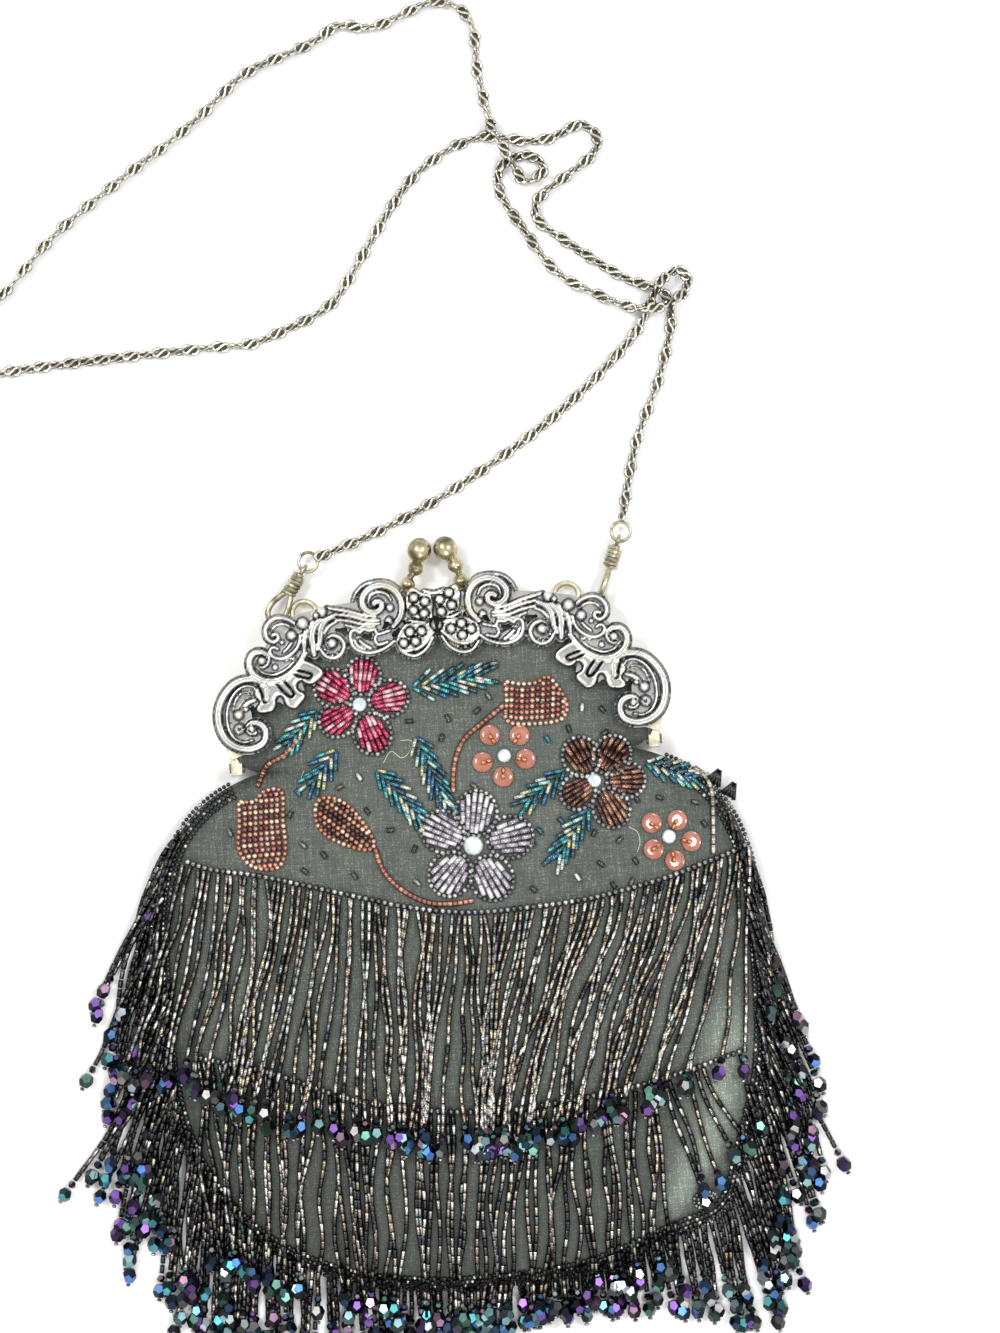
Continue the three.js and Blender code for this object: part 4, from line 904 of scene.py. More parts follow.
# Cut beads: shares of a tint on facets to the side, a dark body with a lighter facet now and then; painted
# glints on facets to the top; and how far up those must look
SIDE_FACETS = (0.02, 0.02, 0.02, 0.03, 0.03, 0.04, 0.05, 0.08, 0.14, 0.5)
TOP_FACET_GLINTS = (0.14, 0.4, 0.8, 1.0)
GLINT_RISE = (0.66, 0.73)
# Other beads: share of tint on the flanks, as painted shade, and the rise where the painted highlight on
# top starts and is full
FLANK_SHADE = {
    "bugle": (0.03, 0.72, 0.99), "glass": (0.26, 0.3, 0.92), "seed": (0.16, 0.1, 0.88),
    "lined": (0.36, 0.0, 0.9), "link": (0.08, 0.05, 0.6),
}


def bead_shape(kind):
    """Corners, faces and normals of a bead about one unit long, or of a link, along the third axis."""
    if kind in BEAD_SHAPES:
        return BEAD_SHAPES[kind]
    bm = bmesh.new()
    if kind in ("bugle", "glass"):
        bmesh.ops.create_cone(bm, cap_ends=True, segments=8, radius1=0.5, radius2=0.5, depth=1.0)
    elif kind in ("seed", "lined"):
        bmesh.ops.create_uvsphere(bm, u_segments=7, v_segments=4, radius=0.5)
    elif kind == "cut":
        bmesh.ops.create_icosphere(bm, subdivisions=1, radius=0.65)
        spots = [f.calc_center_median() for f in bm.faces]
        bmesh.ops.delete(bm, geom=list(bm.verts), context="VERTS")
        bmesh.ops.convex_hull(bm, input=[bm.verts.new(spot) for spot in spots])
        bmesh.ops.dissolve_limit(bm, angle_limit=0.1, verts=bm.verts, edges=bm.edges)
    elif kind == "web":
        bmesh.ops.create_uvsphere(bm, u_segments=10, v_segments=5, radius=0.5)
        bmesh.ops.scale(bm, vec=(1.0, 0.15, 1.0), verts=bm.verts)
    elif kind == "link":
        path = smooth_line([(y, 0.0, x) for x, y in LINK], count=29)
        wire(bm, path, bpy.context.scene.handbag_metal.link_wire / MM, 5)
        bmesh.ops.recalc_face_normals(bm, faces=bm.faces)
    bm.verts.index_update()
    bm.normal_update()
    corners = np.array([v.co for v in bm.verts])
    faces = [[v.index for v in f.verts] for f in bm.faces]
    normals = np.array([v.normal for v in bm.verts])
    if kind in ("bugle", "glass"):
        normals = corners * (1, 1, 0)
    normals = normals / np.linalg.norm(normals, axis=1)[:, None]
    bm.free()
    BEAD_SHAPES[kind] = (corners, faces, normals)
    return BEAD_SHAPES[kind]


class Tray:
    """Collects beads or links and joins them into one mesh, with painted shade on their flanks and a
    painted highlight on their tops.
    """

    def __init__(self, chance):
        self.chance = chance
        self.rows = {}

    def put(self, kind, centre, axis, length, width, tint, spin=None):
        spin = self.chance.uniform(0, 2 * math.pi) if spin is None else spin
        self.rows.setdefault(kind, []).append((*centre, *axis, length, width, spin, *tint))

    def string(self, kind, path, length, width, tints, gap=0.06):
        """Beads end to end along a path."""
        points = even_steps(path, length)
        for a, b in zip(points, points[1:]):
            step = np.linalg.norm(b - a)
            spin = FLAT_UP if kind == "glass" else None
            self.put(kind, (a + b) / 2, b - a, step * (1 - gap), width, self.chance.choice(tints), spin)

    def mesh(self, name):
        """One mesh of all the rows, in metres, with every bead's tint on its corners, kept full on the top
        as a painted highlight and darkened on the flanks as painted shade.
        """
        corners, faces, tints, smooth = [], [], [], []
        total = 0
        for kind, rows in self.rows.items():
            rows = np.array(rows)
            shape, shape_faces, normals = bead_shape(kind)
            ahead = rows[:, 3:6] / np.linalg.norm(rows[:, 3:6], axis=1)[:, None]
            seed = np.where(np.abs(ahead[:, 2:3]) > 0.9, [[1.0, 0.0, 0.0]], [[0.0, 0.0, 1.0]])
            side = np.cross(seed, ahead)
            side /= np.linalg.norm(side, axis=1)[:, None]
            up = np.cross(ahead, side)
            c, s = np.cos(rows[:, 8])[:, None], np.sin(rows[:, 8])[:, None]
            across, over = side * c + up * s, up * c - side * s
            width, length = rows[:, 7][:, None, None], rows[:, 6][:, None, None]
            placed = (
                rows[:, None, 0:3]
                + shape[None, :, 0:1] * width * across[:, None, :]
                + shape[None, :, 1:2] * width * over[:, None, :]
                + shape[None, :, 2:3] * length * ahead[:, None, :]
            )
            first = total + np.arange(len(rows)) * len(shape)
            # Rise of each corner's normal, which sets its painted light: painted highlight on top, painted
            # shade on the flanks
            up = np.column_stack([across[:, 2], over[:, 2], ahead[:, 2]]) @ normals.T
            flank_shade, low, high = FLANK_SHADE.get(kind, (1.0, 0.0, 1.0))
            shares = flank_shade + (1 - flank_shade) * smoothstep(up, low, high)
            for face in shape_faces:
                faces += (np.array(face)[None] + first[:, None]).tolist()
                smooth += [kind != "cut" and len(face) < 5] * len(rows)
                share = shares[:, face]
                # Cut beads: a painted glint on the facet that faces up, the other facets dark
                if kind == "cut":
                    top = [self.chance.choice(TOP_FACET_GLINTS) for _ in rows]
                    top = smoothstep(up[:, face].mean(1), *GLINT_RISE) * top
                    share = np.maximum(top, [self.chance.choice(SIDE_FACETS) for _ in rows])
                    share = share[:, None] * np.ones(len(face))
                tints.append((share[:, :, None] * rows[:, None, 9:12]).reshape(-1, 3))
            corners.append(placed.reshape(-1, 3))
            total += len(rows) * len(shape)
        mesh = bpy.data.meshes.new(name)
        mesh.from_pydata((np.vstack(corners) * MM).tolist(), [], faces)
        mesh.polygons.foreach_set("use_smooth", smooth)
        colour = mesh.color_attributes.new("tint", "FLOAT_COLOR", "CORNER")
        tints = np.vstack(tints)
        tints = np.column_stack([tints, np.ones(len(tints))])
        colour.data.foreach_set("color", tints.astype(np.float32).ravel())
        mesh.update()
        return mesh


class HANDBAG_OT_stage(bpy.types.Operator):
    """Floor, soft lights and the camera above the bag"""

    bl_idname = "handbag.stage"
    bl_label = "Stage"
    floor_size, floor_spot, room_light = 30.0, (0, 0.1, -0.0003), 0.82
    # Place, size and share of the main lamp's power; the lamps look at one place
    lamps = {
        "lamp_left": ((-0.65, 0.6, 1.35), 0.4, 1.3),
        "lamp_right": ((0.75, 0.35, 1.3), 0.35, 1.0),
        "lamp_over": ((0.0, 0.1, 1.75), 0.9, 0.2),
        "lamp_foot": ((0.1, -0.85, 1.1), 0.5, 0.7),
    }
    aim = (0.0, 0.08, 0.0)
    # The camera's place in plan, the level it is set for, how much of that it sees upright, and its turn
    camera_spot, camera_level, camera_sight, camera_turn = (0.0181, 0.1059), 0.006, 0.4, -4

    def execute(self, context):
        settings = context.scene.handbag_stage
        bm = bmesh.new()
        bmesh.ops.create_grid(bm, x_segments=8, y_segments=8, size=self.floor_size)
        bmesh.ops.translate(bm, verts=bm.verts, vec=self.floor_spot)
        mesh = bpy.data.meshes.new("floor")
        bm.to_mesh(mesh)
        bm.free()
        mesh.materials.append(floor_finish(settings.floor))
        floor = bpy.data.objects.new("floor", mesh)
        context.scene.collection.objects.link(floor)
        for name, (place, size, share) in self.lamps.items():
            self.lamp(context, name, place, size, settings.lamp_power * share)
        world = bpy.data.worlds.new("soft_room")
        world.use_nodes = True
        sky = world.node_tree.nodes["Background"]
        sky.inputs["Color"].default_value = (1, 1, 1, 1)
        sky.inputs["Strength"].default_value = self.room_light
        context.scene.world = world
        context.scene.view_settings.view_transform = "Standard"
        self.camera(context, settings.lens)
        return {"FINISHED"}

    def lamp(self, context, name, place, size, power):
        data = bpy.data.lights.new(name, "AREA")
        data.shape = "DISK"
        data.size = size
        data.energy = power
        lamp = bpy.data.objects.new(name, data)
        lamp.location = place
        lamp.rotation_euler = (Vector(self.aim) - Vector(place)).to_track_quat("-Z", "Y").to_euler()
        context.scene.collection.objects.link(lamp)

    def camera(self, context, lens):
        """Straight above, a little turned."""
        data = bpy.data.cameras.new("camera")
        data.lens = lens
        camera = bpy.data.objects.new("camera", data)
        height = self.camera_level + self.camera_sight * lens / data.sensor_width
        camera.location = (*self.camera_spot, height)
        camera.rotation_euler = (0, 0, math.radians(self.camera_turn))
        context.scene.collection.objects.link(camera)
        context.scene.camera = camera


class HANDBAG_OT_pouch(bpy.types.Operator):
    """Silk pouch: front and back sewn at the seam, its mouth held in the frame"""

    bl_idname = "handbag.pouch"
    bl_label = "Silk pouch"
    foot_rows, shoulder_rows, mouth_rows, columns = 64, 40, 40, 116
    cloth, weld = 0.0009, 0.02

    def execute(self, context):
        settings = context.scene.handbag_pouch
        bm = bmesh.new()
        seam = self.panel(bm, settings, True) + self.panel(bm, settings, False)
        bmesh.ops.remove_doubles(bm, verts=seam, dist=self.weld)
        silk, solids = silk_finish(settings), ["pouch_front", "pouch_back"]
        piece = finish_mesh("silk_pouch", bm, silk, solids, outward=False)
        self.shade(piece.data)
        thick = piece.modifiers.new("cloth", "SOLIDIFY")
        thick.thickness = self.cloth
        thick.offset = -1.0
        return {"FINISHED"}

    @staticmethod
    def shade(mesh):
        """Painted shade under the fringe and along the seam, and a painted sheen where the silk has no
        beads at the right.
        """
        spots = np.array([v.co[:2] for v in mesh.vertices]) / MM
        x, y = spots[:, 0], spots[:, 1]
        # Painted shade under the upper row of fringe and, darker, under the lower row
        fringe = 0.05 * smoothstep(np.interp(x, *zip(*UPPER_HEAD)) - y, -2, 5)
        fringe = fringe + 0.28 * smoothstep(np.interp(x, *zip(*LOWER_HEAD)) - y, -3, 9)
        inset = half_width(np.minimum(y, HINGE_Y)) - np.abs(x)
        # Painted sheen: a pool of light on the silk at the lower right
        painted_sheen = 2.0 * bell(inset, 12, 8) * smoothstep(-y, -8, 12) * smoothstep(x, 52, 62)
        # Painted shade along the seam, where the silk curves away
        rim = 0.55 + 0.45 * smoothstep(inset, 1, 13)
        layer = mesh.attributes.new("shade", "FLOAT", "POINT")
        layer.data.foreach_set("value", ((1 - fringe + painted_sheen) * rim).astype(np.float32))

    def panel(self, bm, settings, front):
        """One panel: a grid whose rows run from the foot to the frame; returns the points on its seam."""
        rows = self.foot_rows + self.shoulder_rows + self.mouth_rows
        made = bmesh.ops.create_grid(bm, x_segments=self.columns, y_segments=rows, size=1.0)["verts"]
        grid = np.array([v.co for v in made])
        column = np.round((grid[:, 0] + 1) / 2 * self.columns)
        column = np.sin(np.pi / 2 * column / self.columns * 2 - np.pi / 2)
        row = np.round((grid[:, 1] + 1) / 2 * rows)
        place = self.surface(settings, front, column, row)
        for vert, spot in zip(made, place):
            vert.co = spot
        if not front:
            faces = {f for v in made for f in v.link_faces}
            bmesh.ops.reverse_faces(bm, faces=list(faces))
        return [v for v, c, r in zip(made, column, row) if abs(c) > 0.99999 or r == 0]

    def surface(self, settings, front, column, row):
        """Places of a panel's points, folds included."""
        foot_turn = np.pi / 2 * np.clip(1 - row / self.foot_rows, 0, 1)
        up_turn = SHOULDER_TURN * np.clip((row - self.foot_rows) / self.shoulder_rows, 0, 1)
        y = WAIST_Y - FOOT["reach"] * np.sin(foot_turn) ** (2 / FOOT["power"])
        y = y + SHOULDER["reach"] * np.sin(up_turn) ** (2 / SHOULDER["power"])
        width = half_width(y)
        crown = settings.crown / MM
        rise = np.clip((y - WAIST_Y) / (HINGE_Y - WAIST_Y), 0, 1) ** 1.3
        below, above = crown * (width / HALF_WIDTH) ** 1.2, crown + (HINGE_CROWN - crown) * rise
        high = np.where(y < WAIST_Y, below, above)
        if front:
            z = SEAM_Z + high * np.maximum(0, 1 - np.abs(column) ** 2.2) ** 0.8
        else:
            full = np.minimum(1, 1.5 * width / HALF_WIDTH)
            z = SEAM_Z - BACK_DEPTH * full * np.maximum(0, 1 - np.abs(column) ** 4) ** 0.8
            z = np.maximum(0.05, z)
        x = column * width
        up = np.clip((row - self.foot_rows - self.shoulder_rows) / self.mouth_rows, 0, 1)
        rim = np.array([arch_at((c + 1) / 2, RIM["inset"]) for c in column])
        swing = 1 - (1 - up) ** (1 + 3 * np.abs(column) ** 8)
        x, y = x + (rim[:, 0] - x) * swing, y + (rim[:, 1] - y) * up
        z = z + (RIM["front" if front else "back"] - z) * smoothstep(up, 0, 0.7)
        free = (1 - np.abs(column) ** 6) * smoothstep(width, 0, 40) * (1 - smoothstep(up, 0.35, 0.75))
        if front:
            z = z + settings.fold_depth / MM * free * self.folds(x, y)
        return np.column_stack([*corner(x, y), z])

    @staticmethod
    def folds(x, y):
        """Soft upright folds that wander, with a few puckers along the bead rows."""
        wander = 4.5 * np.sin(y / 31 + 0.4) + 2.5 * np.sin(y / 13 + x / 60)
        upright = 0.6 * np.sin((x + wander) / 3.3) + 0.5 * np.sin((x - wander) / 5.1 + 1.3)
        slant = 0.5 * np.sin((x * 0.55 + y) / 7.3 + 0.8) * np.sin((x - y * 0.4) / 19)
        head = np.interp(x, *zip(*UPPER_HEAD))
        pucker = 0.7 * np.sin(x / 1.55 + 0.4 * np.sin(x / 5)) * bell(y, head, 5.5)
        return upright * smoothstep(head - y, -12, 10) + slant + pucker


class HANDBAG_OT_frame(bpy.types.Operator):
    """Both halves of the frame with their ears, lugs and half rings, and the finish of the rivets"""

    bl_idname = "handbag.frame"
    bl_label = "Frame"

    def execute(self, context):
        brass = metal_finish("pale_brass", (0.72, 0.68, 0.54), (0.52, 0.48, 0.36), 0.42)
        for half in ("front", "back"):
            bm = bmesh.new()
            self.channel(bm, CHANNEL[half])
            for side in (-1, 1):
                self.ear(bm, side, half)
                if half == "front":
                    self.leg(bm, side)
            if half == "back":
                self.lugs(bm)
            finish_mesh(f"frame_half_{half}", bm, brass, [f"frame_{half}"])
        rivet = metal_finish("dark_rivet", (0.26, 0.24, 0.18), (0.1, 0.09, 0.06), 0.4)
        for side in ("left", "right"):
            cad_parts[f"hinge_pin_{side}"].data.materials[0] = rivet
        return {"FINISHED"}

    @staticmethod
    def channel(bm, section):
        """The section is carried round the arch; its first axis points inward."""
        stations = []
        for share in np.linspace(0, 1, 111):
            point, inner = arch_at(share), arch_at(share, 1.0) - arch_at(share)
            turn = Matrix(((inner[0], 0, -inner[1]), (inner[1], 0, inner[0]), (0, 1, 0))).to_4x4()
            stations.append(Matrix.Translation((*point, 0)) @ turn)
        sweep(bm, stations, section)

    @staticmethod
    def block(bm, size, middle, soft, longest=99.0):
        """A block whose edges are rounded, apart from those longer than the longest."""
        made = bmesh.ops.create_cube(bm, size=1.0)["verts"]
        bmesh.ops.scale(bm, vec=size, verts=made)
        bmesh.ops.translate(bm, vec=middle, verts=made)
        edges = [e for e in {e for v in made for e in v.link_edges} if e.calc_length() < longest]
        bmesh.ops.bevel(bm, geom=edges, offset=soft, affect="EDGES", segments=2, profile=0.5, material=-1)

    def ear(self, bm, side, half):
        """Hinge ear; those of the front half run outside those of the back half."""
        (near, far), (low, high) = EARS[half].values()
        size = (far - near, EAR["length"], high - low)
        middle = (side * (near + far) / 2, EAR["middle"], (low + high) / 2)
        self.block(bm, size, middle, EAR["round"], EAR["longest_round_edge"])

    def leg(self, bm, side):
        """Flat strip from the foot of the channel down over the hinge."""
        x, y, z = LEG["middle"]
        self.block(bm, LEG["size"], (side * x, y, z), LEG["round"])

    @staticmethod
    def lugs(bm):
        """Loops for the chain's hooks, and two half rings on the rail."""
        reach, foot, radius, thick = LUG.values()
        for hook in HOOKS.values():
            spot = (*arch_at(hook["share"], -reach), HOOK_Z)
            axis = (-hook["towards"][1], hook["towards"][0], 0) if hook["flat"] else (0, 0, 1)
            wire(bm, ring_path(spot, axis, radius, 20), thick, 8, True)
            held = (*arch_at(hook["share"], -foot), HOOK_Z)
            if hook["flat"]:
                held = (*spot[:2], HOOK_Z - radius)
            wire(bm, [(*arch_at(hook["share"], 0.5), held[2]), held], thick, 8)
        (x, y, z), radius, thick, start, lean, turn = HALF_RING.values()
        for side in (-1, 1):
            path = ring_path((side * x, y, z), (0, 0, 1), radius, 20, start - side * lean, turn)
            wire(bm, path, thick, 8)


class HANDBAG_OT_scrollwork(bpy.types.Operator):
    """Cast scrolls, leaves and the bow, as one relief on a thin plate"""

    bl_idname = "handbag.scrollwork"
    bl_label = "Scrollwork"
    # Underside and thickness of the plate, and the polish of its bare face
    floor, plate, bare_polish = 10.85, 1.1, 0.57
    # Width, height and middle of the relief's grid, and how many cells past the outline are kept
    wide, tall, middle, margin = 138.4, 51, 110.3, 0.75

    def execute(self, context):
        metal = context.scene.handbag_metal
        cell = metal.cell / MM
        columns, rows = int(self.wide / cell), int(self.tall / cell)
        bm = bmesh.new()
        # Tone kept per corner: patina in the recesses, and painted highlights and painted shade on crests,
        # domes and their sides
        polish = bm.verts.layers.float.new("relief")
        made = bmesh.ops.create_grid(bm, x_segments=columns, y_segments=rows, size=1.0)["verts"]
        grid = np.array([v.co[:2] for v in made])
        x, y = grid[:, 0] * columns * cell / 2, self.middle + grid[:, 1] * rows * cell / 2
        height, outside, tone = self.relief(x, y)
        order = np.lexsort((x, y))
        shaped = outside[order].reshape(rows + 1, columns + 1)
        hollow = np.zeros(len(x))
        hollow[order] = self.hollow(height[order].reshape(rows + 1, columns + 1)).ravel()
        for vert, share in zip(made, np.clip(tone - 0.3 * hollow, 0, 1)):
            vert[polish] = share
        slope_y, slope_x = np.gradient(shaped, cell)
        slope = np.zeros((len(x), 2))
        slope[order] = np.column_stack([slope_x.ravel(), slope_y.ravel()])
        length = np.maximum(np.linalg.norm(slope, axis=1), 0.2)
        shift = np.where(np.abs(outside) < self.margin * cell, -outside / length, 0.0)
        x, y = x + shift * slope[:, 0] / length, y + shift * slope[:, 1] / length
        for vert, spot in zip(made, np.column_stack([x, y, self.floor + self.plate + height])):
            vert.co = spot
        gone = [v for v, out in zip(made, outside) if out >= self.margin * cell]
        bmesh.ops.delete(bm, geom=gone, context="VERTS")
        self.close_below(bm)
        finish_mesh("cast_scrollwork", bm, cast_finish(metal), ["scrollwork"], sharp=70)
        return {"FINISHED"}

    @staticmethod
    def hollow(height):
        """How far each place lies below its neighbourhood, where polish doesn't reach."""
        around = height
        for _ in range(6):
            sides = sum(np.roll(around, step, axis) for step in (-1, 1) for axis in (0, 1))
            around = (around + sides) / 5
        return np.maximum(0, around - height)

    def close_below(self, bm):
        """Gives the relief its sides and a flat underside."""
        loose = [v for v in bm.verts if not v.link_faces]
        bmesh.ops.delete(bm, geom=loose, context="VERTS")
        top = list(bm.faces)
        below = bmesh.ops.duplicate(bm, geom=top)["geom"]
        rim = [e for f in top for e in f.edges if len(e.link_faces) == 1]
        walls = bmesh.ops.extrude_edge_only(bm, edges=list(set(rim)))["geom"]
        for vert in (v for v in below + walls if isinstance(v, bmesh.types.BMVert)):
            vert.co.z = self.floor
        bmesh.ops.reverse_faces(bm, faces=[f for f in below if isinstance(f, bmesh.types.BMFace)])
        bmesh.ops.remove_doubles(bm, verts=[v for v in bm.verts if v.co.z < self.floor + 1e-4], dist=1e-4)

    def relief(self, x, y):
        """Height above the plate, distance outside the plate's outline, and tone: polish and painted
        highlights on crests and domes, painted shade where they fall away.
        """
        height = np.zeros(len(x))
        tone = np.full(len(x), self.bare_polish)
        outside = np.full(len(x), 9.0)
        side = np.abs(x)
        for width, tall, points in STROKES:
            self.stroke(side, y, width, tall, points, height, outside, tone)
        for width, tall, points in BOW_LINES:
            self.stroke(x, y, width, tall, points, height, outside, tone)
        for cx, cy, radius in PATCHES:
            np.minimum(outside, np.hypot(side - cx, y - cy) - radius, out=outside)
        band = self.band_distance(side, y)
        np.minimum(outside, band, out=outside)
        for loop in BOW_LOOPS:
            inside = self.inside_distance(x, y, loop)
            np.minimum(outside, -inside - 0.1, out=outside)
            # Painted highlight along a loop's rounded edge, painted shade where it falls to the plate
            edge = bell(inside, 0.55, 0.3)
            flat = 1.15 * smoothstep(inside, -0.15, 0.35) + 0.45 * edge
            shine = 0.71 + 0.24 * edge - 0.4 * (1 - smoothstep(inside, -0.1, 0.3))
            self.raise_to(np.where(inside > -0.2, flat, 0.0), shine, height, tone)
        self.leaf(side, y, height, outside, tone)
        for cx, cy, radius, tall in DOMES:
            self.dome(side, y, cx, cy, radius, 0.0, tall, height, tone)
        for place in BOW_DOMES:
            self.dome(x, y, *place, *BOW_DOME, height, tone)
        self.dome(x, y, *BOW_KNOT, height, tone)
        return height, outside, tone

    @staticmethod
    def raise_to(level, shine, height, tone):
        """Lifts the relief to a level where that is higher, and takes its tone there, painted highlight and
        shade included.
        """
        above = level > height
        tone[above] = shine[above]
        height[above] = level[above]

    def leaf(self, side, y, height, outside, tone):
        """The lobed leaf: a flat plate with a rounded edge, its slots cut in, under the scrolls."""
        inside = self.inside_distance(side, y, LEAF_PLATE)
        flat = 1.3 * smoothstep(inside, -0.1, 0.5) + 0.25 * bell(inside, 0.7, 0.4)
        # Painted highlight along the leaf's rounded edge and painted shade where it falls away; darker in
        # the slots
        shine = 0.6 + 0.3 * bell(inside, 0.65, 0.35) - 0.45 * (1 - smoothstep(inside, 0, 0.4))
        for points in LEAF_SLOTS:
            near, away, _ = self.along(side, y, smooth_line(points, 0.45))
            flat[near] -= 0.9 * (1 - smoothstep(away, 0.1, 0.42))
            shine[near] -= 0.5 * (1 - smoothstep(away, 0.15, 0.5))
        self.raise_to(np.where(inside > -0.15, flat, 0.0), shine, height, tone)
        np.minimum(outside, -inside - 0.1, out=outside)

    @staticmethod
    def off_run(x, y, a, b):
        """Share of the way along a straight run, and the distance from it."""
        run = b - a
        right, up = x - a[0], y - a[1]
        share = np.clip((right * run[0] + up * run[1]) / max(run.dot(run), 1e-9), 0, 1)
        return share, np.hypot(right - share * run[0], up - share * run[1])

    def along(self, x, y, line):
        """Places near a line: their numbers, their distance from it and their share of the way along it."""
        low, high = line.min(0) - 3, line.max(0) + 3
        near = np.flatnonzero((x > low[0]) & (x < high[0]) & (y > low[1]) & (y < high[1]))
        best = np.full(len(near), 99.0)
        where = np.zeros(len(near))
        for i, (a, b) in enumerate(zip(line, line[1:])):
            share, away = self.off_run(x[near], y[near], a, b)
            closer = away < best
            best[closer] = away[closer]
            where[closer] = (i + share[closer]) / (len(line) - 1)
        return near, best, where

    def stroke(self, x, y, width, tall, points, height, outside, tone):
        """A flattened ridge with a groove down a broad one, tapering at its ends."""
        groove = 0.34 * smoothstep(width, 1.5, 1.9)
        width = (1.1 + 0.25 * smoothstep(width, 1.2, 1.7)) * width
        near, best, where = self.along(x, y, smooth_line(points, 0.45))
        taper = 0.62 + 0.38 * np.sin(np.pi * np.clip(where, 0.08, 0.92)) ** 0.5
        share = best / (width / 2 * taper)
        ridge = 0.72 * tall * (0.75 + 0.25 * taper) * np.maximum(0, 1 - share**3) ** 0.55
        ridge = ridge - groove * bell(share, 0.0, 0.26) * (share < 1)
        # Painted highlight along the crest, or beside the groove of a broad stroke, and painted shade where
        # the ridge falls away
        crest, reach = (0.36, 0.12) if groove else (0.0, 0.3)
        shine = 0.68 + 0.25 * bell(share, crest, reach) - 0.55 * smoothstep(share, 0.72, 1.0)
        # A painted shade line beside the highlight of a broad stroke
        shine = shine - (0.32 * bell(share, 0.64, 0.1) if groove else 0.0)
        above = ridge > height[near]
        tone[near[above]] = shine[above]
        height[near[above]] = ridge[above]
        outside[near] = np.minimum(outside[near], best - width / 2 * taper - 0.45)

    @staticmethod
    def dome(x, y, cx, cy, radius, base, tall, height, tone):
        """A dome with a narrow moat round it: a painted highlight on its top fading to painted shade at its
        foot, and a darker moat.
        """
        away = np.hypot(x - cx, y - cy) / radius
        moat = (away > 1) & (away < 1.22)
        height[moat] *= 0.35
        tone[moat] = 0.36
        dome = np.flatnonzero(away < 1)
        height[dome] = np.maximum(height[dome], base + tall * np.sqrt(1 - away[dome] ** 2))
        # Painted highlight on the dome's top, fading to painted shade at its foot
        tone[dome] = 0.95 - 0.5 * away[dome] ** 4

    def inside_distance(self, x, y, loop):
        """Distance inside a closed outline, negative outside it."""
        line = smooth_line(loop + loop[:1], 0.6)
        best = np.full(len(x), 99.0)
        odd = np.zeros(len(x), bool)
        near = np.flatnonzero(np.hypot(x - line[:, 0].mean(), y - line[:, 1].mean()) < 14)
        for a, b in zip(line, np.roll(line, -1, axis=0)):
            run = b - a
            best[near] = np.minimum(best[near], self.off_run(x[near], y[near], a, b)[1])
            crosses = (a[1] > y[near]) != (b[1] > y[near])
            at = a[0] + (y[near] - a[1]) * run[0] / np.where(crosses, run[1], 1.0)
            odd[near] ^= crosses & (x[near] < at)
        return np.where(odd, best, -best)

    @staticmethod
    def band_distance(side, y):
        """Distance outside the narrow plate that follows the arch."""
        best = np.full(len(side), 99.0)
        for share in np.linspace(0.5, 0.93, 140):
            spot = arch_at(share, 2.2)
            np.minimum(best, np.hypot(side - spot[0], y - spot[1]), out=best)
        return best - 2.0


class HANDBAG_OT_clasp(bpy.types.Operator):
    """Kiss clasp: two balls on beaded stems, one on each half of the frame"""

    bl_idname = "handbag.clasp"
    bl_label = "Kiss clasp"

    def execute(self, context):
        metal = context.scene.handbag_metal
        brass = metal_finish("clasp_brass", metal.brass, (0.17, 0.14, 0.08), 0.2)
        for half, stem in KNOBS.items():
            bm = bmesh.new()
            root, bend, collar, ball = (Vector(p) for p in stem)
            wire(bm, smooth_line([root, bend, collar, ball], count=14), STEM_WIRE, 10)
            lean = (ball - collar).normalized()
            turned(bm, self.ball_profile(BALL["radius"]), ball - lean * BALL["half"], lean)
            low = (collar - bend).normalized()
            turned(bm, self.barrel(*BARREL), collar - low * 2.1, low)
            foot = (bend - root).normalized()
            turned(bm, self.barrel(*BARREL), root + foot, foot)
            turned(bm, self.barrel(*WASHER), root, foot)
            close_up(bm)
            finish_mesh(f"kiss_knob_{half}", bm, brass, [f"clasp_knob_{half}"])
        return {"FINISHED"}

    @staticmethod
    def ball_profile(radius):
        angles = np.linspace(0, math.pi, 15)
        return [(radius * math.sin(a), 1.08 * radius * (1 - math.cos(a))) for a in angles]

    @staticmethod
    def barrel(radius, tall):
        angles = np.linspace(0, math.pi, 9)
        side = [(radius * (0.55 + 0.45 * math.sin(a)), tall * a / math.pi) for a in angles]
        return [(0.0, 0.0), *side, (0.0, tall)]


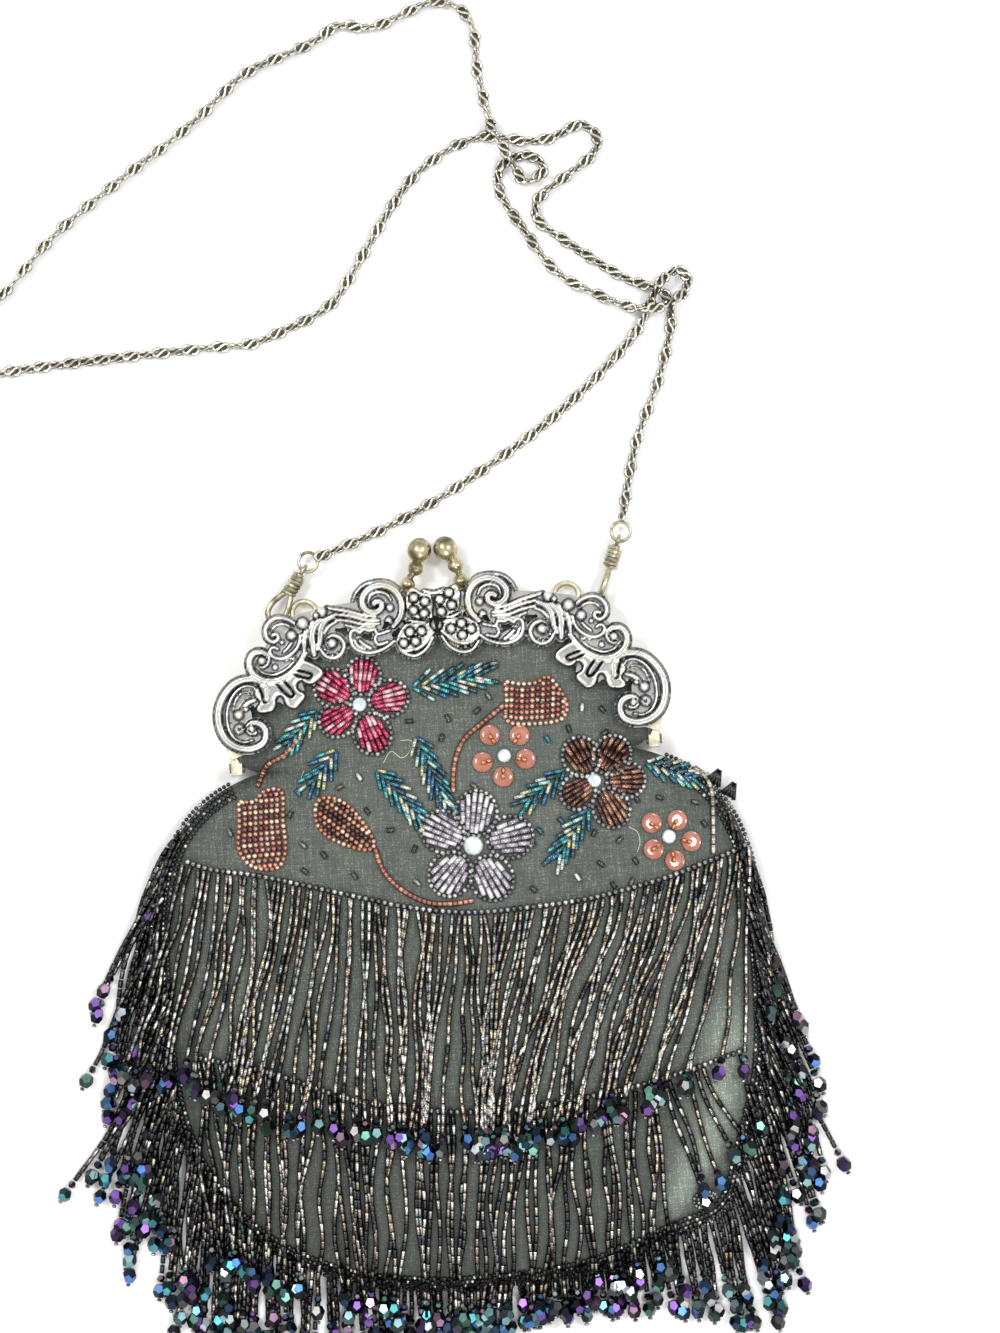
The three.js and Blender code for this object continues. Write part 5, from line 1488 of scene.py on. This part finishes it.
class HANDBAG_OT_hooks(bpy.types.Operator):
    """Wire hooks with wrapped necks, and the jump rings that join them to the chain"""

    bl_idname = "handbag.hooks"
    bl_label = "Hooks and rings"

    def execute(self, context):
        finish = metal_finish("hook_brass", (0.58, 0.54, 0.4), (0.17, 0.15, 0.1), 0.26)
        for side, hook in HOOKS.items():
            lug = Vector((*arch_at(hook["share"], -LUG["reach"]), HOOK_Z))
            along = Vector((*hook["towards"], 0)).normalized()
            beside = Vector((-along.y, along.x, 0))
            across = beside if hook["flat"] else Vector((0, 0, 1))
            bm = bmesh.new()
            self.hook(bm, lug, along, across, beside)
            finish_mesh(f"chain_hook_{side}", bm, finish, [f"hook_{side}"])
            ring = bmesh.new()
            path = ring_path(lug + along * JUMP_RING["at"], (0, 0, 1), JUMP_RING["radius"], 32)
            wire(ring, path, JUMP_RING["wire"], 8, True)
            finish_mesh(f"chain_ring_{side}", ring, finish, [f"jump_ring_{side}"])
        return {"FINISHED"}

    @staticmethod
    def hook(bm, lug, along, across, beside):
        """Two limbs that meet in a bend, a coil round their ends, the neck inside it and an eye."""
        limbs = [lug + along * a + across * b for a, b in LIMB["points"]] + [lug]
        limbs += [lug + along * a - across * b for a, b in reversed(LIMB["points"])]
        wire(bm, smooth_line(limbs, count=40), LIMB["wire"], 8)
        turns, steps, start, length, radius, thick = COIL.values()
        coil = []
        for i in range(turns * steps + 1):
            angle = 2 * math.pi * i / steps
            reach = radius * (math.cos(angle) * across + math.sin(angle) * along.cross(across))
            coil.append(lug + along * (start + length * i / (turns * steps)) + reach)
        wire(bm, coil, thick, 7)
        wire(bm, [lug + along * NECK["start"], lug + along * NECK["end"]], NECK["radius"], 8)
        wire(bm, ring_path(lug + along * EYE["at"], beside, EYE["radius"], 20), EYE["wire"], 8, True)


class HANDBAG_OT_chain(bpy.types.Operator):
    """Shoulder chain: closed S links, every other one turned about its length"""

    bl_idname = "handbag.chain"
    bl_label = "Chain"

    def execute(self, context):
        metal = context.scene.handbag_metal
        chance = random.Random(41)
        path = smooth_line([(x, y, CHAIN_Z + lift) for x, y, lift in CHAIN_ROUTE], metal.link_pitch / MM)
        tray = Tray(chance)
        twist = 0.1
        for i, (a, b) in enumerate(zip(path, path[1:])):
            twist = 0.8 * twist + chance.uniform(-0.13, 0.13)
            polish = chance.uniform(0.62, 0.9)
            tint = [polish * c for c in metal.chain]
            spin = math.radians(60 * (i % 2)) + twist
            tray.put("link", (a + b) / 2, b - a, 1.0, 1.0, tint, spin)
            # A dark sheet inside each link: painted shadow where the gaps between the wires would lie in
            # shade
            tray.put("web", (a + b) / 2, b - a, SHADOW_WEB["length"], SHADOW_WEB["width"], SHADOW_WEB["tint"], spin)
        mesh = tray.mesh("chain_links")
        finish = bead_finish("antique_chain", 1.0, 0.22, 0.0)
        finish_piece(mesh, finish, ["chain_start", "chain_return"])
        return {"FINISHED"}


class Strands:
    """Lays strands of bugles that end in a cut bead, a drop and a stopper."""

    # Cut bead and its share of light, the drop's length for its width, the stopper, and room for knots
    cut, cut_light, drop_length, stopper, knots = 2.4, 0.45, 1.16, 1.1, 1.5

    def __init__(self, beads, start):
        self.chance = random.Random(beads.shuffle * 100 + start)
        self.tray = Tray(self.chance)
        self.length = beads.bugle_length / MM
        self.width = beads.bugle_width / MM
        self.seed = beads.seed_width / MM
        self.drop = beads.drop_width / MM
        self.tail = self.cut + self.drop * self.drop_length + self.knots

    def lay(self, path, height, dark, drop=True):
        """Threads bugles along a path in plan, at a height(place, share); dark is the share of jet ones."""
        plan = even_steps(path, 0.8)
        run = np.linspace(0, 1, len(plan))
        line = np.column_stack([plan, [height(p, t) + self.width / 2 for p, t in zip(plan, run)]])
        tints = [*HEMATITE, *[self.chance.choice(HEMATITE)] * 6]
        points = even_steps(line, self.length + 0.1)
        for a, b in zip(points, points[1:]):
            tint = self.chance.choice(JET if self.chance.random() < dark else tints)
            length = self.length * self.chance.uniform(0.86, 1.0)
            width = self.width * self.chance.uniform(0.92, 1.06)
            spin = self.chance.uniform(-0.12, 0.12)
            self.tray.put("bugle", (a + b) / 2, b - a, length, width, tint, spin)
        if drop:
            self.end(points[-1], points[-1] - points[-2], height)

    def end(self, tip, ahead, height):
        """Cut bead, drop and stopper past the tip of a strand."""
        ahead = ahead / np.linalg.norm(ahead)
        sizes = [
            ("cut", self.cut, self.cut, self.cut_light),
            ("cut", self.drop * self.drop_length, self.drop, 1.0),
            ("seed", self.stopper, self.seed, 1.0),
        ]
        at = 0.2
        for kind, long, wide, light in sizes:
            long, wide = (v * self.chance.uniform(0.92, 1.06) for v in (long, wide))
            spot = tip + ahead * (at + long / 2)
            spot[2] = max(spot[2], height(spot[:2], 1.0) + wide / 2)
            tint = [light * v for v in self.chance.choice(PEACOCK if kind == "cut" else SEED_TINTS)]
            spin = self.chance.uniform(0, 2 * math.pi)
            self.tray.put(kind, spot, (*ahead[:2], 0.15 * ahead[2]), long, wide, tint, spin)
            at += long + 0.1

    def head(self, line, lift):
        """A line of seed beads along the head of a row."""
        path = [(x, y, drape(x, y) + lift) for x, y in even_steps(line, 0.7)]
        self.tray.string("seed", path, self.seed * 1.3, self.seed * 1.42, SEED_TINTS)


def fall_at(table, at):
    """The two columns of a fall table at a place."""
    places = [row[0] for row in table]
    return [float(np.interp(at, places, [row[k] for row in table])) for k in (1, 2)]


class HANDBAG_OT_fringe_rows(bpy.types.Operator):
    """Upper and lower rows of bead fringe across the front"""

    bl_idname = "handbag.fringe_rows"
    bl_label = "Fringe rows"

    def execute(self, context):
        beads = context.scene.handbag_beads
        finish = bead_finish(*FRINGE_FINISH)
        lower = Strands(beads, 2)
        self.row(lower, LOWER_HEAD, LOWER_FALL, beads.lower_strands, lambda p, t: drape(*p), 0.42)
        mesh = lower.tray.mesh("bead_fringe_lower")
        finish_piece(mesh, finish, ["fringe_lower"])
        upper = Strands(beads, 1)
        self.row(upper, UPPER_HEAD, UPPER_FALL, beads.upper_strands, self.over_lower, 0.1)
        mesh = upper.tray.mesh("bead_fringe_upper")
        finish_piece(mesh, finish, ["fringe_upper"])
        return {"FINISHED"}

    @staticmethod
    def over_lower(place, share):
        """The upper strands ride over the head of the lower row."""
        head = np.interp(place[0], *zip(*LOWER_HEAD))
        return drape(*place) + 1.7 * smoothstep(head + 7 - place[1], 0, 6)

    @staticmethod
    def row(strands, head, fall, count, height, dark):
        """Strands that fall from a head of seeds, swaying and leaning as the fall table says."""
        chance = strands.chance
        line = smooth_line(head, 0.5)
        strands.head(line, 0.45)
        wander = 0.0
        for x, top in even_steps(line, count=count):
            wander = 0.6 * wander + chance.uniform(-4.2, 4.2)
            late = chance.uniform(-1.5, 3.0) + strands.tail
            sway, phase, wave = chance.uniform(2, 11), chance.uniform(0, 6.3), chance.uniform(3.2, 8)
            x, y = x + chance.uniform(-0.9, 0.9), top - 0.9
            path = [(x, y)]
            while y - late > fall_at(fall, x)[1]:
                lean = fall_at(fall, x)[0] * min(1.0, 0.55 + (top - y) / 34)
                lean = lean * (1 - 0.4 * smoothstep(-y, 0, 22)) + wander
                angle = math.radians(lean + sway * math.sin(phase + (top - y) / wave))
                x, y = x + 1.5 * math.sin(angle), y - 1.5 * math.cos(angle)
                path.append((x, y))
            if len(path) > 3 and (fall_at(fall, path[0][0])[0] < 20 or chance.random() < 0.55):
                strands.lay(path, height, dark)


class HANDBAG_OT_fringe_edge(bpy.types.Operator):
    """Fringe, seed edging and picots round the seam"""

    bl_idname = "handbag.fringe_edge"
    bl_label = "Edge fringe"

    def execute(self, context):
        beads = context.scene.handbag_beads
        strands = Strands(beads, 3)
        chance = strands.chance
        share, last = EDGE_FALL[0][0], EDGE_FALL[-1][0]
        while share < last:
            close = np.interp(share, *zip(*EDGE_DENSITY)) * beads.edge_fullness
            share += 0.01 / close * chance.uniform(0.5, 1.5)
            swing, length = fall_at(EDGE_FALL, share)
            if abs(swing) > 15 and share < 0.9:
                swing *= 1.06 - 0.7 * chance.random() ** 1.6
            swing += chance.uniform(-5, 5)
            drop = share < 0.88 and chance.random() < np.interp(share, (0.06, 0.13), (0.3, 1.0))
            length *= chance.uniform(0.72, 1.04) if drop else chance.uniform(0.5, 0.76)
            self.strand(strands, share, swing, length - strands.tail * drop, drop)
        self.edging(strands)
        mesh = strands.tray.mesh("bead_fringe_edge")
        finish_piece(mesh, bead_finish(*FRINGE_FINISH), ["fringe_edge"])
        return {"FINISHED"}

    @staticmethod
    def strand(strands, share, swing, length, drop):
        """A strand from the seam down to the floor, bending back towards straight down."""
        chance = strands.chance
        start, outward = seam_at(share)
        spot = start + outward * chance.uniform(-4.2 if 0.15 < share < 0.88 else -1.8, 0.9)
        path = [spot]
        steps = 14
        curl = chance.uniform(-0.1, 0.8) if drop else 1.1
        sway, phase = chance.uniform(0, 7), chance.uniform(0, 6)
        for k in range(steps):
            turn = swing * (1.1 - curl * (k / steps) ** 1.5)
            angle = math.radians(turn + sway * math.sin(phase + 0.6 * k))
            spot = spot + length / steps * np.array([math.sin(angle), -math.cos(angle)])
            path.append(spot)
        layer = chance.uniform(0, 3.0)

        def height(place, t):
            foot = WAIST_Y - FOOT["reach"]
            inside = float(half_width(max(place[1], foot + 0.01))) - abs(place[0])
            found = Cloth.at(*place) if inside > -0.5 and place[1] < HINGE_Y else None
            if found:
                return found[0] + 0.4 + 0.4 * layer
            fall = SEAM_Z * (1 - smoothstep(t, 0.0, 0.7)) if inside < -2 else SEAM_Z
            return max(0.05, fall + layer * (1 - t) * smoothstep(t, 0, 0.3))

        strands.lay(path, height, 0.8, drop)

    @staticmethod
    def edging(strands):
        """Rows of seeds along the seam, a coil at the foot and picots at the shoulder."""
        tray, seed = strands.tray, strands.seed
        for inset, lift in EDGING:
            line = []
            for share in np.linspace(0.02, 0.98, 420):
                point, outward = seam_at(share)
                x, y = point - outward * inset
                found = Cloth.at(x, y)
                line.append((x, y, (found[0] if found and inset > 0 else SEAM_Z) + lift * 0.6))
            tray.string("seed", line, seed, seed * 0.95, EDGE_TINTS)
        (x0, y0), count, wide, shrink, squash = FOOT_COIL.values()
        coil = []
        for k in range(count):
            angle, radius = 0.2 * k, wide - shrink * k / count
            x, y = x0 + radius * math.cos(angle), y0 + radius * math.sin(angle) * squash
            coil.append((x, y, drape(x, y) + 0.5))
        tray.string("seed", coil, seed * 0.95, seed * 0.9, SEED_TINTS)
        places, (tip_x, tip_y), lift, width, roots = PICOTS.values()
        for x, y in places:
            tip = np.array([x + tip_x, y + tip_y, SEAM_Z + lift])
            for dx, dy in roots:
                root = np.array([x + dx, y + dy, SEAM_Z + lift])
                end = root + 0.95 * (tip - root)
                length = np.linalg.norm(end - root)
                tray.put("bugle", (root + end) / 2, end - root, length, width, JET[0], FLAT_UP)


class HANDBAG_OT_embroidery(bpy.types.Operator):
    """Bead embroidery on the silk: flowers, tulips, a bud, leaves, stems and strewn bugles"""

    bl_idname = "handbag.embroidery"
    bl_label = "Embroidery"

    def execute(self, context):
        beads = context.scene.handbag_beads
        self.chance = random.Random(beads.shuffle + 900)
        self.tray = Tray(self.chance)
        self.seed = beads.seed_width / MM
        for name, fill in (("pink", RASPBERRY), ("lilac", LAVENDER), ("brown", UMBER)):
            for petal in FLOWERS[name]["petals"]:
                self.petal(FLOWERS[name]["heart"], petal, fill)
        for stalk, tip, barb in LEAVES:
            self.leaf(np.array(stalk), np.array(tip), barb)
        self.filled(TULIP_RIGHT, 84, 1.55, COPPER, (COPPER, WINE))
        self.filled(TULIP_LEFT, 2, 1.6, COPPER, (COPPER, WINE))
        self.filled(BUD, -42, 1.4, COPPER, (UMBER, UMBER, COPPER))
        for stem in STEMS:
            path = [self.spot(x, y, 0.6) for x, y in smooth_line(stem, 0.6)]
            self.tray.string("glass", path, *STEM_BEAD, RUST)
        loose = even_steps(smooth_line(LOOSE_ROW, 0.5), LOOSE_STEP)
        for a, b in zip(loose, loose[1:]):
            turn = math.atan2(b[1] - a[1], b[0] - a[0])
            tint = self.chance.choice(HEMATITE[:6])
            self.bugle(*((a + b) / 2), turn, *LOOSE_BUGLE, tint, "bugle")
        for x, y, turn in STRAYS:
            tint = self.chance.choice(HEMATITE[6:] + JET + JET + TEAL[:2])
            self.bugle(x, y, math.radians(turn), *STRAY_BUGLE, tint, "bugle")
        mesh = self.tray.mesh("bead_embroidery")
        finish_piece(mesh, bead_finish(*LINED_FINISH))
        return {"FINISHED"}

    @staticmethod
    def spot(x, y, lift):
        found = Cloth.at(x, y)
        return np.array([x, y, (found[0] if found else SEAM_Z) + lift])

    def bugle(self, x, y, turn, length, width, tint, kind="glass"):
        """A bugle laid on the silk in a direction in plan."""
        reach = length / 2 * np.array([math.cos(turn), math.sin(turn)])
        a = self.spot(x - reach[0], y - reach[1], width * 0.45)
        b = self.spot(x + reach[0], y + reach[1], width * 0.45)
        self.tray.put(kind, (a + b) / 2, b - a, length, width, tint, FLAT_UP)

    def line(self, points, tints, size=1.0, kind="lined"):
        """A couched line of seeds."""
        path = [self.spot(x, y, 0.45 * self.seed) for x, y in smooth_line(points, 0.6)]
        self.tray.string(kind, path, self.seed * 0.98 * size, self.seed * size, tints)

    def outline(self, centre, axis, long, wide, tints):
        across = np.array([-axis[1], axis[0]])
        angles = np.linspace(0, 2 * math.pi, 40)
        ring = [centre + axis * long * math.cos(a) + across * wide * math.sin(a) for a in angles]
        self.line(ring, tints, 1.14, "seed")

    def petal(self, heart, petal, fill):
        """Columns of bugles that fan out from the heart, inside a ring of dark seeds."""
        centre, long, wide = np.array(petal[:2]), 1.07 * petal[2], 1.1 * petal[3]
        axis = centre - np.array(heart)
        axis /= np.linalg.norm(axis)
        across = np.array([-axis[1], axis[0]])
        for k in range(PETAL_COLUMNS):
            off = (k + 0.5) / PETAL_COLUMNS * 2 - 1
            reach = (long - 0.2) * math.sqrt(max(0.08, 1 - off * off))
            count = max(1, round(2 * reach / 3.3))
            fan = 0.34 * off
            for j in range(count):
                along = reach * ((j + 0.5) / count * 2 - 1)
                spread = (wide - 0.3) * off * (0.86 + 0.2 * along / long)
                x, y = centre + axis * along + across * spread
                turn = math.atan2(axis[1], axis[0]) + fan * 0.6 + self.chance.uniform(-0.06, 0.06)
                length, width = 2 * reach / count * 0.95, 2 * (wide - 0.3) / PETAL_COLUMNS * 0.96
                self.bugle(x, y, turn, length, width, self.chance.choice(fill))
        self.outline(centre, axis, long + 0.45, wide + 0.45, SEED_TINTS)

    def leaf(self, stalk, tip, barb):
        """Slanted bugles on both sides of a midrib."""
        axis = tip - stalk
        length = np.linalg.norm(axis)
        heading = math.atan2(axis[1], axis[0])
        count = max(5, round(length / 2.5))
        for k in range(count):
            t = (k + 0.4) / count
            root = stalk + axis * t
            for side in (-1, 1):
                turn = heading + side * (0.62 - 0.3 * t + self.chance.uniform(-0.1, 0.1))
                reach = 1.3 * barb * (0.62 + 0.5 * math.sin(math.pi * (0.15 + 0.7 * t)))
                parts = max(1, round(reach / 2.9))
                for j in range(parts):
                    mid = reach * (j + 0.5) / parts + 0.35
                    x, y = root + mid * np.array([math.cos(turn), math.sin(turn)])
                    self.bugle(x, y, turn, reach / parts * 0.94, 1.4, self.chance.choice(TEAL))

    def filled(self, outline, turn, spacing, rim, fills):
        """An outline of seeds filled with rows of seeds in a direction in plan."""
        ring = smooth_line(outline + outline[:1], 0.5)
        ahead = np.array([math.cos(math.radians(turn)), math.sin(math.radians(turn))])
        across = np.array([-ahead[1], ahead[0]])
        offs, runs = ring @ across, ring @ ahead
        places = np.arange(offs.min() + spacing * 0.75, offs.max() - spacing * 0.4, spacing)
        for k, off in enumerate(places):
            hits = []
            for i in range(len(ring)):
                a, b = offs[i - 1], offs[i]
                if (a > off) != (b > off):
                    hits.append(runs[i - 1] + (runs[i] - runs[i - 1]) * (off - a) / (b - a))
            hits.sort()
            for low, high in zip(hits[::2], hits[1::2]):
                if high - low > 2.6:
                    stops = (low + 1.0, (low + high) / 2, high - 1.0)
                    row = [across * off + ahead * stop for stop in stops]
                    self.line(row, fills[k % len(fills)], 1.16)
        self.line(ring, rim, 1.12)


class HANDBAG_OT_sequins(bpy.types.Operator):
    """Sequin flowers, the beads that hold them, loose thread ends and cut stones"""

    bl_idname = "handbag.sequins"
    bl_label = "Sequins and stones"

    def execute(self, context):
        bm = bmesh.new()
        tray = Tray(random.Random(77))
        for heart, flower in zip(SEQUIN_HEARTS, SEQUIN_FLOWERS):
            for x, y in flower:
                self.sequin(bm, x, y)
                self.held(tray, heart, (x, y))
        close_up(bm)
        finish_mesh("coral_sequins", bm, sequin_finish())
        finish_piece(tray.mesh("sequin_beads"), bead_finish(*LINED_FINISH))
        self.threads()
        self.stones()
        return {"FINISHED"}

    @staticmethod
    def seat(x, y, lift):
        """A place on the silk, tilted with it."""
        height, normal = Cloth.at(x, y)
        return Matrix.Translation((x, y, height)) @ tilt(normal) @ Matrix.Translation((0, 0, lift))

    def sequin(self, bm, x, y):
        """A shallow cup with a hole in its middle."""
        cup = SEQUIN["cup"]
        under = [(r, h - SEQUIN["sheet"]) for r, h in reversed(cup)]
        place = self.seat(x, y, SEQUIN["lift"])
        turned(bm, cup + under + cup[:1], place.translation, place.col[2].xyz)

    @staticmethod
    def held(tray, heart, place):
        """Coral beads from the sequin's hole towards the heart."""
        run = np.array(heart) - np.array(place)
        run /= np.linalg.norm(run)
        spots, lift, sink, size, tint = CORAL_BEADS.values()
        for k, at in enumerate(spots):
            x, y = np.array(place) + run * at
            height = Cloth.at(x, y)[0] + lift - sink * k
            tray.put("seed", (x, y, height), (*run, 0), *size, tint)

    @staticmethod
    def threads():
        """Loose ends on the silk."""
        bm = bmesh.new()
        for points in THREADS:
            path = [(x, y, Cloth.at(x, y)[0] + 0.25) for x, y in smooth_line(points, 0.8)]
            wire(bm, path, 0.13, 5)
        finish_mesh("thread_ends", bm, thread_finish())

    @staticmethod
    def stones():
        """Cut stones with a table and two rows of facets, in the places of their solids."""
        finish = bead_finish("clear_stone", 0.35, 0.04, 1.0)
        chance = random.Random(5)
        for name in [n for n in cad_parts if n.startswith("stone_")]:
            low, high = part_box(name)
            middle, radius = (low + high) / 2 / MM, (high.x - low.x) / 2 / MM
            bm = bmesh.new()
            profile = [(r * radius, h * radius) for r, h in STONE_ROWS]
            turned(bm, profile, (0, 0, 0), (0, 0, 1), 12)
            close_up(bm)
            _, normal = Cloth.at(middle.x, middle.y)
            bmesh.ops.transform(bm, matrix=Matrix.Translation(middle) @ tilt(normal), verts=bm.verts)
            piece = finish_mesh(f"cut_{name}", bm, finish, [name], sharp=None)
            colour = piece.data.color_attributes.new("tint", "FLOAT_COLOR", "CORNER")
            for face in piece.data.polygons:
                tint = chance.choice(STONE_TINTS)
                for loop in face.loop_indices:
                    colour.data[loop].color = (*tint, 1.0)


class HANDBAG_PT_panel(bpy.types.Panel):
    """Lists the bag's pieces and their sizes"""

    bl_idname = "HANDBAG_PT_panel"
    bl_label = "Beaded handbag"
    bl_space_type = "VIEW_3D"
    bl_region_type = "UI"
    bl_category = "Handbag"

    def draw(self, context):
        for step in STEPS:
            self.layout.operator(step.bl_idname)
        for name, group in GROUPS.items():
            column = self.layout.box().column(align=True)
            for key in group.__annotations__:
                column.prop(getattr(context.scene, name), key)


GROUPS = {
    "handbag_pouch": HandbagPouch,
    "handbag_beads": HandbagBeads,
    "handbag_metal": HandbagMetal,
    "handbag_stage": HandbagStage,
}
STEPS = (
    HANDBAG_OT_stage,
    HANDBAG_OT_pouch,
    HANDBAG_OT_frame,
    HANDBAG_OT_scrollwork,
    HANDBAG_OT_clasp,
    HANDBAG_OT_hooks,
    HANDBAG_OT_chain,
    HANDBAG_OT_fringe_rows,
    HANDBAG_OT_fringe_edge,
    HANDBAG_OT_embroidery,
    HANDBAG_OT_sequins,
)
CLASSES = (*GROUPS.values(), *STEPS, HANDBAG_PT_panel)


def register():
    for cls in CLASSES:
        bpy.utils.register_class(cls)
    for name, group in GROUPS.items():
        setattr(bpy.types.Scene, name, PointerProperty(type=group))


def unregister():
    for name in GROUPS:
        delattr(bpy.types.Scene, name)
    for cls in reversed(CLASSES):
        bpy.utils.unregister_class(cls)


def main():
    """Builds every piece in order."""
    register()
    for step in STEPS:
        area, name = step.bl_idname.split(".")
        getattr(getattr(bpy.ops, area), name)()


if __name__ == "__main__":
    main()
